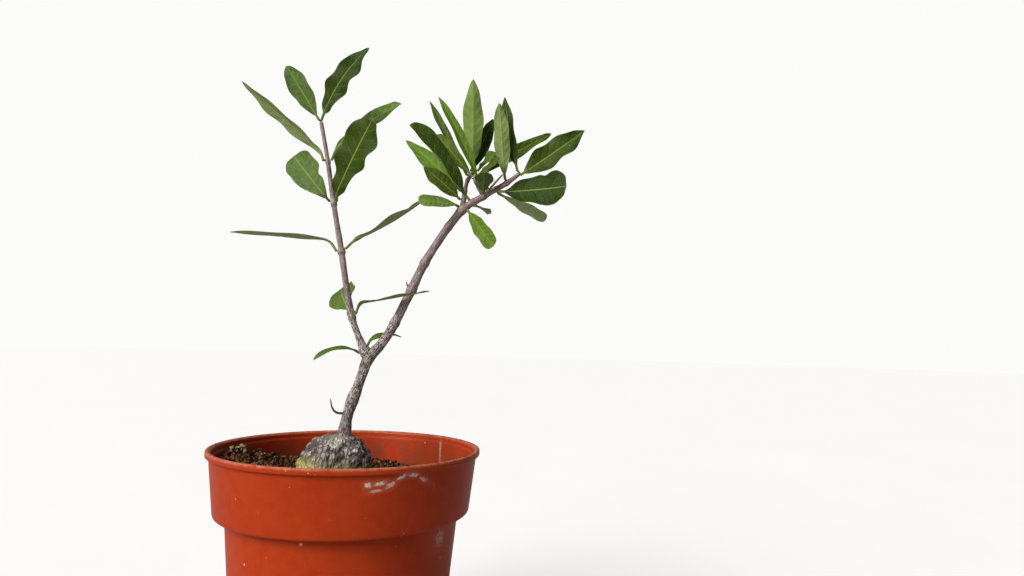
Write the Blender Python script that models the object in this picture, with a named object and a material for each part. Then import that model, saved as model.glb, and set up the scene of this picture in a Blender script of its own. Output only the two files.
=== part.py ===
"""Potted fockea: a young swollen-based plant with two leafy stems in a round plastic nursery pot.

Frame: the origin is the middle of the pot's underside, where it stands. +Z is up, -Y is the
front and +X is the side that the longer stem leans to. Lengths are in metres, written as
millimetres times MM, and angles are in degrees.

The pot is turned, with drain holes cut through its floor. The soil fills it up to SOIL_DROP
below the rim and is dished where the caudex, the swollen base, sits in it. The trunk grows
from the caudex and forks. The stems' routes are measured from the crown, where the trunk
leaves the caudex, and each leaf grows from a station along its stem.
"""

import math
from collections import namedtuple

import bmesh
import bpy
import numpy as np
from mathutils import Vector

MM = 0.001
CLEARANCE = 0.3 * MM  # between pieces that touch

# The pot
RIM_RADIUS = 52.5 * MM  # outside of the rolled lip
LIP_HEIGHT = 2.6 * MM
LIP_REACH = 1.2 * MM  # how far the lip stands out from the band
LIP_ROUNDING = 0.9 * MM  # at the lip's lower corner
LIP_TOP_FALL = 0.3 * MM  # from the top of the lip out to its edge
CORNER_CUT = 0.6 * MM  # at the foot and at the band's lower edge
POT_HEIGHT = 93 * MM
BAND_HEIGHT = 24.4 * MM  # the deep collar below the rim
BAND_TAPER = 2.6 * MM  # how much the band's radius shrinks down its height
SHOULDER_STEP = 4.2 * MM  # from the band's lower edge in to the body
FOOT_RADIUS = 38 * MM
WALL = 1.3 * MM
SHOULDER_SLOPE = 1.5 * MM  # fall of the ledge inside, behind the band's lower edge
FOOT_RING_WIDTH = 3 * MM
CHANNEL_DEPTH = 2.2 * MM  # the drained groove in the underside
CENTRE_PAD_RADIUS = 13 * MM  # flat pad in the middle of the underside
HOLE_COUNT = 8
HOLE_RADIUS = 3.2 * MM
POT_SEGMENTS = 48

# The soil
SOIL_DROP = 12 * MM  # from the rim down to the level soil
HEAP_HEIGHT = 7.5 * MM  # the bank of soil against the left wall
HEAP_HEADING = 182
HEAP_SPREAD = 60  # to each side of its heading
DIP_DEPTH = 4.5 * MM  # where the soil has settled against the right wall
DIP_HEADING = 20
DIP_SPREAD = 90
BANK_START = 0.35  # share of the way out to the wall where the heap and the dip begin
BANK_WIDTH = 0.5  # share of the way over which they grow to their full height
SOIL_ROUGHNESS = 0.5 * MM
SOIL_WAVES = (0.41, 0.37, 0.93, 0.71)  # radians to a mm, of two crossed waves and a slanted one
CALM_SHARE = 0.3  # share of the way out over which the roughness grows to its full height
SOIL_RINGS = (0.22, 0.45, 0.68, 0.86, 1.0)  # shares of the way out
SOIL_SEGMENTS = 36

# The caudex
CAUDEX_RADIUS = 14 * MM
CAUDEX_ABOVE = 16.3 * MM  # from the soil up to its top
CAUDEX_BURIED = 12 * MM  # the body below the soil, before the tap root
TAP_ROOT_LENGTH = 10 * MM
TAP_ROOT_RADIUS = 3 * MM
ROOT_END_RADIUS = 0.9 * MM
CAUDEX_OFFSET = Vector((-4.6, 0, 0)) * MM  # its middle, from the pot's axis
CAUDEX_LUMPS = 0.8 * MM
CAUDEX_FULLNESS = 0.72  # 1 is an ellipse, and less is boxier
CAUDEX_WIDEST = 0.12  # its widest place, as a share of the way from the soil to its top
CAUDEX_RINGS = 13
CAUDEX_SEGMENTS = 22

# The stems, as (x, y, z) from the crown in millimetres
CROWN_OFFSET = Vector((2.7, 0, -2)) * MM  # from the top of the caudex's middle
TRUNK_ROUTE = [(-0.6, 0, -3), (1.3, 0, 10.5), (4.8, 0.5, 22), (8.2, 1, 32.5)]
LEFT_ROUTE = [(8.2, 1, 32.5), (4.6, 1.3, 39.5), (-0.2, 2, 52), (-5.4, 3, 77), (-9.8, 4, 97),
              (-13.5, 5, 115.5), (-17.3, 6, 132)]
RIGHT_ROUTE = [(8.2, 1, 32.5), (14, 0.5, 39.5), (18.6, 0, 47.3), (25, -1, 61), (30.5, -1.5, 73),
               (38, -2.5, 85), (44.5, -3.5, 93.8)]
OUTER_ROUTE = [(44.5, -3.5, 93.8), (48.5, -4, 96.5), (53.5, -5, 99.3), (58.5, -5.5, 102.3),
               (63, -6, 105), (67.8, -6, 109)]
UPRIGHT_ROUTE = [(44.5, -3.5, 93.8), (44.8, -1, 98.5), (46, 1.5, 107), (49.2, 3, 112)]
MIDDLE_ROUTE = [(53.5, -5, 99.3), (51.6, -6, 102), (49.8, -7, 105), (49.2, -7.5, 107)]
TWIG_ROUTE = [(53.5, -5, 99.3), (56.6, -8, 102.8), (60.8, -9.5, 107.3)]
SPUR_ROUTE = [(25.3, -1, 61.7), (23.6, -2, 62), (22.8, -2.4, 63.8)]
SPROUT_ROUTE = [(1.3, 0, 10.5), (-2.6, -2, 10.8), (-4.4, -3, 12.8), (-5.2, -3.4, 16.4)]
TRUNK_RADIUS = 2.4 * MM
FORK_RADIUS = 1.95 * MM  # the trunk where it forks
RIGHT_RADIUS = 1.6 * MM
LEFT_RADIUS = 1.3 * MM
SHOOT_RADIUS = 1.1 * MM  # the short shoots that carry the right-hand tuft
TIP_RADIUS = 0.75 * MM  # where a leafy stem ends
FINE_RADIUS = 0.4 * MM  # the dry twig, the spur and the sprout
STEM_SPACING = 5 * MM  # between the rings of a stem

# The leaves
LEAF_THICKNESS = 0.5 * MM
PETIOLE_SHARE = 0.12  # of a leaf's length
PETIOLE_WIDTH = 1.1 * MM
LEAF_STATIONS = 9
STALK_CROWDING = 1.4  # sets the stations closer together towards the stalk
LEAF_STRIPS = 4
LEAF_FULLNESS = 1.5  # how fast a blade widens from its ends
TIP_WIDTH = 0.5 * MM

Leaf = namedtuple(
    "Leaf",
    "name stem station heading rise reach width roll bend kink fold ruffle waves widest",
    defaults=(0, 12, 0, 14, 0.5, 2.0, 0.5),
)
# A leaf points along its heading, turned from +X towards +Y, and rises above the horizontal.
# Its reach and width are in mm. Roll turns the blade about its midrib, bend lets the tip
# droop, kink steepens the leaf stalk, fold lifts the halves, and ruffle waves the margin.
LEAVES = [
    Leaf("leaf_left_1a", "left", 1.0, 166, 58, 29.5, 9, roll=-84, bend=-8, fold=8, widest=0.62),
    Leaf("leaf_left_1b", "left", 1.0, 335, 50, 36.5, 10.5, roll=98, bend=10, fold=8, ruffle=0.9,
         waves=3, widest=0.58),
    Leaf("leaf_left_2a", "left", 0.83, 191, 42, 46, 7.5, roll=58, bend=6, kink=42, fold=-14,
         ruffle=0.8, waves=3),
    Leaf("leaf_left_2b", "left", 0.83, 39, 45, 45, 7.5, roll=36, bend=10, kink=40, ruffle=0.6),
    Leaf("leaf_left_3a", "left", 0.66, 159, 49, 29.5, 13, roll=-74, bend=6, kink=44, fold=6,
         widest=0.58),
    Leaf("leaf_left_3b", "left", 0.65, 321, 56, 37.5, 16, roll=102, bend=8, kink=26, fold=8,
         ruffle=1.1, waves=3),
    Leaf("leaf_left_4a", "left", 0.45, 187, 8, 43, 7, roll=8, bend=0, kink=56, fold=8),
    Leaf("leaf_left_4b", "left", 0.455, 5, 35, 39, 7, roll=-12, bend=-14, kink=44, fold=20,
         ruffle=1.0),
    Leaf("leaf_left_5a", "left", 0.205, 116, 28, 22, 13.5, roll=-48, bend=10, kink=40, fold=6),
    Leaf("leaf_left_5b", "left", 0.185, 337, 15, 35, 6.5, roll=6, bend=-2, kink=62, fold=8),
    Leaf("leaf_left_6a", "left", 0.035, 203, -10, 18, 6, roll=-14, bend=72, kink=12, fold=6),
    Leaf("leaf_left_6b", "left", 0.05, 36, 14, 15.5, 6, roll=14, bend=60, kink=36, fold=6),
    Leaf("leaf_tuft_upright", "upright", 0.98, 139, 88, 38.5, 9, roll=131, bend=6, fold=8),
    Leaf("leaf_tuft_big_left", "outer", 0.16, 210, 44, 37, 12, roll=-58, bend=14, kink=-10,
         fold=20),
    Leaf("leaf_tuft_far_left", "upright", 0.45, 157, 41, 36.5, 7.5, roll=-60, bend=18, fold=8),
    Leaf("leaf_tuft_olive", "upright", 0.24, 186, 40, 19.5, 7, roll=-78, bend=8, kink=20, fold=8),
    Leaf("leaf_tuft_level", "upright", 0.03, 215, -1, 18, 6, roll=-60, bend=16, kink=20, fold=8,
         ruffle=0.2, widest=0.6),
    Leaf("leaf_tuft_thin", "middle", 0.60, 203, 60.5, 37.5, 5.5, roll=-60, bend=16, fold=24,
         ruffle=0.3),
    Leaf("leaf_tuft_thin_far", "upright", 0.80, 160, 61, 38, 4.5, roll=-40, bend=-8, fold=20,
         ruffle=0.3),
    Leaf("leaf_tuft_arched", "middle", 0.98, 147, 46, 28, 7.5, roll=-70, bend=62, fold=14),
    Leaf("leaf_tuft_far_dark", "upright", 0.93, 55, 61.5, 30, 7, roll=56, bend=-8, fold=20,
         ruffle=0.9, waves=2.5),
    Leaf("leaf_tuft_pale", "outer", 0.76, 243, 77, 30, 6.5, roll=20, bend=-10, kink=-14, fold=10,
         ruffle=0.6),
    Leaf("leaf_tuft_dark_right", "outer", 0.985, 176, 79, 31, 6, roll=-110, bend=14, fold=24,
         ruffle=0.7),
    Leaf("leaf_tuft_far_right", "upright", 0.80, 22, 34.5, 43, 6, roll=70, bend=22, fold=16,
         ruffle=0.9),
    Leaf("leaf_tuft_right", "outer", 0.97, 351, 35, 31, 10.5, roll=84, bend=-12, fold=14,
         ruffle=1.1),
    Leaf("leaf_tuft_broad", "outer", 0.60, 339, 1, 28, 14, roll=78, bend=-14, kink=-10, fold=6,
         ruffle=1.1, widest=0.68),
    Leaf("leaf_tuft_pale_under", "outer", 0.57, 20, -22, 23, 4.6, roll=-70, bend=16, fold=-6,
         ruffle=0.2, widest=0.6),
    Leaf("leaf_tuft_hanging", "outer", 0.06, 318, -46, 21.5, 6, roll=80, bend=10, fold=6,
         ruffle=0.2, widest=0.6),
    Leaf("leaf_tuft_dark_stub", "outer", 0.17, 62, -8, 11.5, 6, roll=20, bend=26, widest=0.6),
    Leaf("leaf_tuft_centre", "outer", 0.38, 276, 34, 11, 6, roll=0, bend=12, widest=0.6),
    Leaf("leaf_tuft_curled", "upright", 0.98, 342, 20, 13.5, 7, roll=40, bend=40, fold=20,
         ruffle=0.9),
    Leaf("leaf_tuft_brown", "middle", 0.69, 326, 40, 12.5, 4.5, roll=60, bend=12, fold=20),
    Leaf("leaf_tuft_green", "outer", 0.45, 104, 62, 12.5, 5, roll=80, bend=10, fold=12),
]

# Loose lumps lying on the soil, as (name, heading, distance from the axis in mm, size in mm)
CRUMBS = [
    ("soil_crumb_mossy", 176, 42.5, 4),
    ("soil_crumb_bark", 200, 33, 2.6),
    ("soil_crumb_grit", 318, 30, 2.2),
]
CRUMB_UNEVENNESS = 0.18  # how far each corner is pushed in or out, as a share of the radius
CRUMB_FLATNESS = 0.75

SOIL_LEVEL = POT_HEIGHT - SOIL_DROP
CAUDEX_TOP = Vector((0, 0, SOIL_LEVEL + CAUDEX_ABOVE)) + CAUDEX_OFFSET
CROWN = CAUDEX_TOP + CROWN_OFFSET


def material(name, colour, roughness, metallic=0.0):
    """A plain Principled material, made once for each name."""
    made = bpy.data.materials.get(name) or bpy.data.materials.new(name)
    made.use_nodes = True
    shader = made.node_tree.nodes["Principled BSDF"]
    shader.inputs["Base Color"].default_value = (*colour, 1.0)
    shader.inputs["Roughness"].default_value = roughness
    shader.inputs["Metallic"].default_value = metallic
    return made


def plastic():
    return material("terracotta_plastic", (0.48, 0.10, 0.03), 0.38)


def earth():
    return material("soil", (0.07, 0.04, 0.025), 0.95)


def corky_bark():
    return material("caudex_bark", (0.28, 0.25, 0.21), 0.85)


def stem_bark():
    return material("stem_bark", (0.27, 0.20, 0.19), 0.6)


def leaf_green():
    return material("leaf", (0.08, 0.17, 0.03), 0.35)


def add_object(name, mesh, finish, helper=False):
    """Links a mesh as an object. A helper shapes other pieces and is left out of the part."""
    placed = bpy.data.objects.new(name, mesh)
    bpy.context.scene.collection.objects.link(placed)
    mesh.materials.append(finish)
    if helper:
        placed.hide_render = True
        placed.display_type = "WIRE"
    return placed


def mesh_from(bm, name, smooth=False):
    """Closes a bmesh's seams, turns its faces outwards and makes it a mesh."""
    bmesh.ops.remove_doubles(bm, verts=bm.verts, dist=0.01 * MM)
    bmesh.ops.recalc_face_normals(bm, faces=bm.faces)
    mesh = bpy.data.meshes.new(name)
    bm.to_mesh(mesh)
    bm.free()
    if smooth:
        mesh.shade_smooth()
        mesh.set_sharp_from_angle(angle=math.radians(35))
    return mesh


def cut(target, cutter, name):
    """Takes the cutter's shape out of the target."""
    boolean = target.modifiers.new(name, "BOOLEAN")
    boolean.operation = "DIFFERENCE"
    boolean.object = cutter


def turned(name, outline, segments, smooth=True):
    """A closed outline of (radius, height) points turned about the pot's axis."""
    bm = bmesh.new()
    ring = [bm.verts.new((radius, 0, height)) for radius, height in outline]
    edges = [bm.edges.new(pair) for pair in zip(ring, ring[1:])]
    if outline[0][0] > 0 and outline[-1][0] > 0:
        edges.append(bm.edges.new((ring[-1], ring[0])))
    bmesh.ops.spin(bm, geom=ring + edges, cent=(0, 0, 0), axis=(0, 0, 1),
                   angle=math.tau, steps=segments)
    return mesh_from(bm, name, smooth)


# --- pot ---

BAND_TOP_RADIUS = RIM_RADIUS - LIP_REACH
BAND_FOOT_RADIUS = BAND_TOP_RADIUS - BAND_TAPER
BODY_TOP_RADIUS = BAND_FOOT_RADIUS - SHOULDER_STEP
SHOULDER_HEIGHT = POT_HEIGHT - BAND_HEIGHT


def inner_radius(height):
    """The inside of the pot's wall at a height, from the floor up to the rim."""
    ledge = SHOULDER_HEIGHT + WALL
    heights = [0, ledge, ledge + SHOULDER_SLOPE, POT_HEIGHT]
    radii = [FOOT_RADIUS, BODY_TOP_RADIUS, BAND_FOOT_RADIUS, BAND_TOP_RADIUS]
    return float(np.interp(height, heights, radii)) - WALL


def pot_outline():
    """Round the wall: up the outside, over the lip, down the inside and along the underside."""
    floor_top = CHANNEL_DEPTH + WALL
    groove_outer = FOOT_RADIUS - FOOT_RING_WIDTH
    groove_inner = CENTRE_PAD_RADIUS + CHANNEL_DEPTH
    lip_foot = POT_HEIGHT - LIP_HEIGHT
    outside = [
        (FOOT_RADIUS - CORNER_CUT, 0),
        (FOOT_RADIUS, CORNER_CUT),
        (BODY_TOP_RADIUS, SHOULDER_HEIGHT),
        (BAND_FOOT_RADIUS - CORNER_CUT, SHOULDER_HEIGHT),
        (BAND_FOOT_RADIUS, SHOULDER_HEIGHT + CORNER_CUT),
        (BAND_TOP_RADIUS, lip_foot),
        (RIM_RADIUS - LIP_ROUNDING / 3, lip_foot + LIP_ROUNDING / 4),
        (RIM_RADIUS, lip_foot + LIP_ROUNDING),
        (RIM_RADIUS - LIP_ROUNDING / 2, POT_HEIGHT - LIP_TOP_FALL),
        (RIM_RADIUS - WALL, POT_HEIGHT),
    ]
    ledge = SHOULDER_HEIGHT + WALL
    inside = [(inner_radius(height), height) for height in (
        POT_HEIGHT - 2 * LIP_TOP_FALL, ledge + SHOULDER_SLOPE, ledge, floor_top)]
    underside = [
        (0, floor_top),
        (0, 0),
        (CENTRE_PAD_RADIUS, 0),
        (groove_inner, CHANNEL_DEPTH),
        (groove_outer - CHANNEL_DEPTH, CHANNEL_DEPTH),
        (groove_outer, 0),
    ]
    return outside + inside + underside


def make_pot():
    """The pot, with a ring of drain holes through the groove in its floor."""
    outline = pot_outline()
    first_inner = next(i for i, (radius, _) in enumerate(outline) if radius == 0)
    loop = outline[first_inner + 1:] + outline[:first_inner + 1]
    pot = add_object("pot", turned("pot", loop, POT_SEGMENTS), plastic())
    groove_middle = (CENTRE_PAD_RADIUS + FOOT_RADIUS - FOOT_RING_WIDTH) / 2
    bm = bmesh.new()
    for index in range(HOLE_COUNT):
        turn = math.tau * index / HOLE_COUNT
        made = bmesh.ops.create_cone(bm, cap_ends=True, segments=12, radius1=HOLE_RADIUS,
                                     radius2=HOLE_RADIUS, depth=6 * WALL)
        middle = (groove_middle * math.cos(turn), groove_middle * math.sin(turn), CHANNEL_DEPTH)
        bmesh.ops.translate(bm, verts=made["verts"], vec=middle)
    drills = add_object("drain_drills", mesh_from(bm, "drain_drills"), plastic(), helper=True)
    cut(pot, drills, "drain holes")


# --- caudex and soil ---

def caudex_mesh(name, grow=0.0):
    """A flattened round body with soft lumps, drawn down into a tap root, grown by a clearance."""
    segments = CAUDEX_SEGMENTS
    root_end = SOIL_LEVEL - CAUDEX_BURIED - TAP_ROOT_LENGTH - grow
    body_middle = SOIL_LEVEL + CAUDEX_ABOVE * CAUDEX_WIDEST
    top, bottom = CAUDEX_TOP.z + grow, SOIL_LEVEL - CAUDEX_BURIED - grow
    bm = bmesh.new()
    loops = []
    for ring in range(1, CAUDEX_RINGS):
        angle = math.pi * ring / CAUDEX_RINGS
        side = math.sin(angle) ** CAUDEX_FULLNESS
        height = math.cos(angle)
        z = body_middle + height * (top - body_middle if height > 0 else body_middle - bottom)
        radius = (CAUDEX_RADIUS + grow) * side
        if height < 0:
            radius = max(radius, TAP_ROOT_RADIUS + grow)
        loop = []
        for segment in range(segments):
            turn = math.tau * segment / segments
            lumps = CAUDEX_LUMPS * side * (math.sin(3 * turn + 2 * angle) + 0.6 * math.sin(5 * turn
                                           - 3 * angle) + 0.5 * math.cos(7 * turn + 5 * angle))
            out = radius + lumps * min(1.0, max(0.0, 4 * height))
            spot = (out * math.cos(turn), out * math.sin(turn), z)
            loop.append(bm.verts.new(Vector(spot) + CAUDEX_OFFSET))
        loops.append(loop)
    root = []
    for segment in range(segments):
        turn = math.tau * segment / segments
        spot = (ROOT_END_RADIUS * math.cos(turn), ROOT_END_RADIUS * math.sin(turn), root_end)
        root.append(bm.verts.new(Vector(spot) + CAUDEX_OFFSET))
    loops.append(root)
    for upper, lower in zip(loops, loops[1:]):
        for i in range(segments):
            j = (i + 1) % segments
            bm.faces.new((upper[i], lower[i], lower[j], upper[j]))
    peak = bm.verts.new(Vector((0, 0, top)) + CAUDEX_OFFSET)
    for i in range(segments):
        bm.faces.new((peak, loops[0][i], loops[0][(i + 1) % segments]))
    bm.faces.new(root)
    return mesh_from(bm, name, smooth=True)


def bank(turn, heading, spread):
    """1 towards the heading, falling smoothly to 0 a spread away on each side."""
    away = (math.degrees(turn) - heading + 180) % 360 - 180
    return max(0.0, 1 - (away / spread) ** 2) ** 2


def soil_top(radius, turn):
    """Level soil with gentle roughness, heaped on one side and settled on the other."""
    inner = inner_radius(SOIL_LEVEL)
    outwards = min(1.0, max(0.0, (radius / inner - BANK_START) / BANK_WIDTH))
    heap = HEAP_HEIGHT * bank(turn, HEAP_HEADING, HEAP_SPREAD)
    dip = DIP_DEPTH * bank(turn, DIP_HEADING, DIP_SPREAD)
    x, y = radius * math.cos(turn) / MM, radius * math.sin(turn) / MM
    wave_x, wave_y, slant_x, slant_y = SOIL_WAVES
    rough = math.sin(wave_x * x + 1.3) * math.cos(wave_y * y)
    rough += 0.6 * math.sin(slant_x * x - slant_y * y)
    rough *= SOIL_ROUGHNESS * min(1.0, radius / (CALM_SHARE * inner))
    return SOIL_LEVEL + (heap - dip) * outwards + rough


def make_soil(bed):
    """The root ball: the pot's inside shape less a clearance, with a rough top."""
    floor, ledge = CHANNEL_DEPTH + WALL, SHOULDER_HEIGHT + WALL
    wall_heights = [floor, ledge, ledge + SHOULDER_SLOPE]
    wall_radii = [inner_radius(height) - 2 * CLEARANCE for height in wall_heights]
    wall_heights = [height + CLEARANCE for height in wall_heights]
    bm = bmesh.new()
    middle_top = bm.verts.new((0, 0, soil_top(0, 0)))
    middle_floor = bm.verts.new((0, 0, floor + CLEARANCE))
    turns = [math.tau * i / SOIL_SEGMENTS for i in range(SOIL_SEGMENTS)]
    loops = []
    reaches = [inner_radius(soil_top(inner_radius(SOIL_LEVEL), t)) - 2 * CLEARANCE for t in turns]
    for share in SOIL_RINGS:
        ring = [(reach * share, t) for reach, t in zip(reaches, turns)]
        loops.append([bm.verts.new((radius * math.cos(t), radius * math.sin(t),
                                    soil_top(radius, t))) for radius, t in ring])
    for radius, height in reversed(list(zip(wall_radii, wall_heights))):
        loops.append([bm.verts.new((radius * math.cos(t), radius * math.sin(t), height))
                      for t in turns])
    for inner, outer in zip(loops, loops[1:]):
        for i in range(SOIL_SEGMENTS):
            j = (i + 1) % SOIL_SEGMENTS
            bm.faces.new((inner[i], outer[i], outer[j], inner[j]))
    for i in range(SOIL_SEGMENTS):
        j = (i + 1) % SOIL_SEGMENTS
        bm.faces.new((middle_top, loops[0][i], loops[0][j]))
        bm.faces.new((middle_floor, loops[-1][j], loops[-1][i]))
    soil = add_object("soil", mesh_from(bm, "soil", smooth=True), earth())
    cut(soil, bed, "caudex bed")


def make_crumbs():
    """Small angular lumps, each resting just above the soil."""
    for name, heading, distance, size in CRUMBS:
        turn, radius, half = math.radians(heading), distance * MM, size / 2 * MM
        bm = bmesh.new()
        bmesh.ops.create_icosphere(bm, subdivisions=1, radius=half)
        for index, vert in enumerate(bm.verts):
            vert.co *= 1 + CRUMB_UNEVENNESS * math.sin(5.1 * index + heading)
            vert.co.z *= CRUMB_FLATNESS
        lowest = min(vert.co.z for vert in bm.verts)
        beneath = max(soil_top(radius + dr, turn + dt) for dr in (-half, 0, half)
                      for dt in (-half / radius, 0, half / radius))
        place = Vector((radius * math.cos(turn), radius * math.sin(turn),
                        beneath - lowest + CLEARANCE))
        bmesh.ops.translate(bm, verts=bm.verts, vec=place)
        add_object(name, mesh_from(bm, name), earth())


# --- stems ---

def smooth_route(points, spacing=STEM_SPACING):
    """The crown-based points in mm as a smooth line in metres, with a point about every spacing."""
    knots = [CROWN + Vector(point) * MM for point in points]
    ends = [knots[0] * 2 - knots[1]] + knots + [knots[-1] * 2 - knots[-2]]
    line = []
    for a, b, c, d in zip(ends, ends[1:], ends[2:], ends[3:]):
        steps = max(1, round((c - b).length / spacing))
        for step in range(steps):
            t = step / steps
            line.append(0.5 * (2 * b + (c - a) * t + (2 * a - 5 * b + 4 * c - d) * t ** 2
                               + (3 * b - a - 3 * c + d) * t ** 3))
    line.append(knots[-1])
    return line


def along(line):
    """Each point's share of the line's length."""
    lengths = np.cumsum([0.0] + [(b - a).length for a, b in zip(line, line[1:])])
    return lengths / lengths[-1]


def stem_radii(line, thick, thin):
    """A radius for each point, shrinking evenly from thick to thin."""
    return [thick + (thin - thick) * share for share in along(line)]


def stem_mesh(name, line, radii):
    """A tapering round stem, as a bevelled curve with filled caps."""
    curve = bpy.data.curves.new(name, "CURVE")
    curve.dimensions = "3D"
    curve.bevel_depth = 1.0
    curve.bevel_resolution = 2
    curve.use_fill_caps = True
    spline = curve.splines.new("POLY")
    spline.points.add(len(line) - 1)
    for point, place, radius in zip(spline.points, line, radii):
        point.co = (*place, 1.0)
        point.radius = radius
    shaper = bpy.data.objects.new(name + "_curve", curve)
    bpy.context.scene.collection.objects.link(shaper)
    bm = bmesh.new()
    bm.from_mesh(shaper.to_mesh())
    shaper.to_mesh_clear()
    bpy.data.objects.remove(shaper)
    bpy.data.curves.remove(curve)
    return mesh_from(bm, name, smooth=True)


Stem = namedtuple("Stem", "line radii")
STEMS = {}


def make_stem(key, name, route, thick, thin, parents=(), spacing=STEM_SPACING):
    """A stem piece. Its start is cut to fit against the stems that it grows from."""
    line = smooth_route(route, spacing)
    radii = stem_radii(line, thick, thin)
    STEMS[key] = Stem(line, radii)
    piece = add_object(name, stem_mesh(name, line, radii), stem_bark())
    for parent in parents:
        cut(piece, parent, "fit to " + parent.name)
    return piece


def clearance_copy(key, name):
    """A hidden, slightly thicker copy of a stem, to cut the pieces that meet it."""
    line, radii = STEMS[key]
    thicker = [radius + CLEARANCE * 1.5 for radius in radii]
    first = line[0] - (line[1] - line[0]).normalized() * CLEARANCE
    last = line[-1] + (line[-1] - line[-2]).normalized() * CLEARANCE
    longer = [first] + line[1:-1] + [last]
    return add_object(name, stem_mesh(name, longer, thicker), stem_bark(), helper=True)


def make_stems(caudex_bed):
    """The trunk, its two stems, the short shoots of the tuft, and the fine dry pieces."""
    make_stem("trunk", "trunk", TRUNK_ROUTE, TRUNK_RADIUS, FORK_RADIUS, [caudex_bed])
    trunk_space = clearance_copy("trunk", "trunk_space")
    make_stem("right", "right_stem", RIGHT_ROUTE, FORK_RADIUS, RIGHT_RADIUS, [trunk_space])
    right_space = clearance_copy("right", "right_space")
    make_stem("left", "left_stem", LEFT_ROUTE, LEFT_RADIUS * 1.15, TIP_RADIUS,
              [trunk_space, right_space])
    make_stem("outer", "outer_shoot", OUTER_ROUTE, RIGHT_RADIUS, TIP_RADIUS, [right_space])
    outer_space = clearance_copy("outer", "outer_space")
    make_stem("upright", "upright_shoot", UPRIGHT_ROUTE, SHOOT_RADIUS, TIP_RADIUS,
              [right_space, outer_space])
    make_stem("middle", "middle_shoot", MIDDLE_ROUTE, SHOOT_RADIUS, TIP_RADIUS, [outer_space],
              spacing=2.5 * MM)
    middle_space = clearance_copy("middle", "middle_space")
    make_stem("twig", "dry_twig", TWIG_ROUTE, FINE_RADIUS * 1.4, FINE_RADIUS,
              [outer_space, middle_space], spacing=3 * MM)
    make_stem("spur", "dry_spur", SPUR_ROUTE, FINE_RADIUS * 1.3, FINE_RADIUS * 0.7, [right_space],
              spacing=1.5 * MM)
    make_stem("sprout", "trunk_sprout", SPROUT_ROUTE, FINE_RADIUS * 1.2, FINE_RADIUS * 0.6,
              [trunk_space], spacing=1.8 * MM)


# --- leaves ---

def stem_place(stem, station):
    """The point, direction and radius of a stem at a share of its length."""
    line, radii = STEMS[stem]
    shares = along(line)
    place = Vector([np.interp(station, shares, [point[i] for point in line]) for i in range(3)])
    ahead = int(np.searchsorted(shares, station).clip(1, len(line) - 1))
    direction = (line[ahead] - line[ahead - 1]).normalized()
    return place, direction, float(np.interp(station, shares, radii))


def leaf_frame(leaf):
    """The leaf's base point and its length, upper-face and side directions."""
    heading, rise, roll = (math.radians(a) for a in (leaf.heading, leaf.rise, leaf.roll))
    length = Vector((math.cos(rise) * math.cos(heading), math.cos(rise) * math.sin(heading),
                     math.sin(rise)))
    upper = (Vector((0, 0, 1)) - length * length.z).normalized()
    upper = upper * math.cos(roll) + length.cross(upper) * math.sin(roll)
    place, stem_way, radius = stem_place(leaf.stem, leaf.station)
    outward = (length - stem_way * length.dot(stem_way)).normalized()
    base = place + outward * (radius + CLEARANCE + PETIOLE_WIDTH / 2)
    return base, length, upper


def leaf_width(leaf, u):
    """The blade's half width: stalk, then a rise and fall that peaks at widest."""
    s = ((u - PETIOLE_SHARE) / (1 - PETIOLE_SHARE)).clip(0, 1)
    rise = (s / leaf.widest) ** (LEAF_FULLNESS * leaf.widest)
    fall = ((1 - s) / (1 - leaf.widest)) ** (LEAF_FULLNESS * (1 - leaf.widest))
    narrowest = PETIOLE_WIDTH / 2 + (TIP_WIDTH - PETIOLE_WIDTH) / 2 * u
    return np.maximum(leaf.width * MM / 2 * rise * fall, narrowest)


def midrib(leaf, u):
    """The midrib's distance along and above the straight line from base to tip, and its slope."""
    fine = np.linspace(0, 1, 101)
    stalk = np.clip(1.5 - fine / PETIOLE_SHARE, 0, 1)
    slope = np.radians(leaf.bend) * (0.5 - fine) + np.radians(leaf.kink) * stalk
    ahead = np.concatenate([[0], np.cumsum(np.cos((slope[1:] + slope[:-1]) / 2))])
    above = np.concatenate([[0], np.cumsum(np.sin((slope[1:] + slope[:-1]) / 2))])
    tilt, span = math.atan2(above[-1], ahead[-1]), math.hypot(ahead[-1], above[-1])
    scale = leaf.reach * MM / span
    x = (ahead * math.cos(tilt) + above * math.sin(tilt)) * scale
    z = (above * math.cos(tilt) - ahead * math.sin(tilt)) * scale
    return np.interp(u, fine, x), np.interp(u, fine, z), np.interp(u, fine, slope - tilt)


def leaf_surface(leaf, u, v):
    """Points of the blade at u, from base to tip, and v, from -1 to 1 across it."""
    base, length, upper = leaf_frame(leaf)
    x, z, slope = midrib(leaf, u)
    t, n = np.array(length), np.array(upper)
    side = np.cross(t, n)
    normal = np.outer(np.cos(slope), n) - np.outer(np.sin(slope), t)
    blade = np.clip((u - PETIOLE_SHARE) / 0.15, 0, 1) * np.clip((1 - u) / 0.1, 0, 1)
    half = leaf_width(leaf, u)
    fold = math.radians(leaf.fold) * blade
    wave = np.sin(math.tau * leaf.waves * u + 1.7 * np.sign(v) + leaf.heading)
    lift = np.abs(v) * half * np.sin(fold) + leaf.ruffle * MM * v ** 2 * wave * blade
    spine = np.array(base) + np.outer(x, t) + np.outer(z, n)
    return spine + np.outer(v * half * np.cos(fold), side) + normal * lift[:, None]


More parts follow.
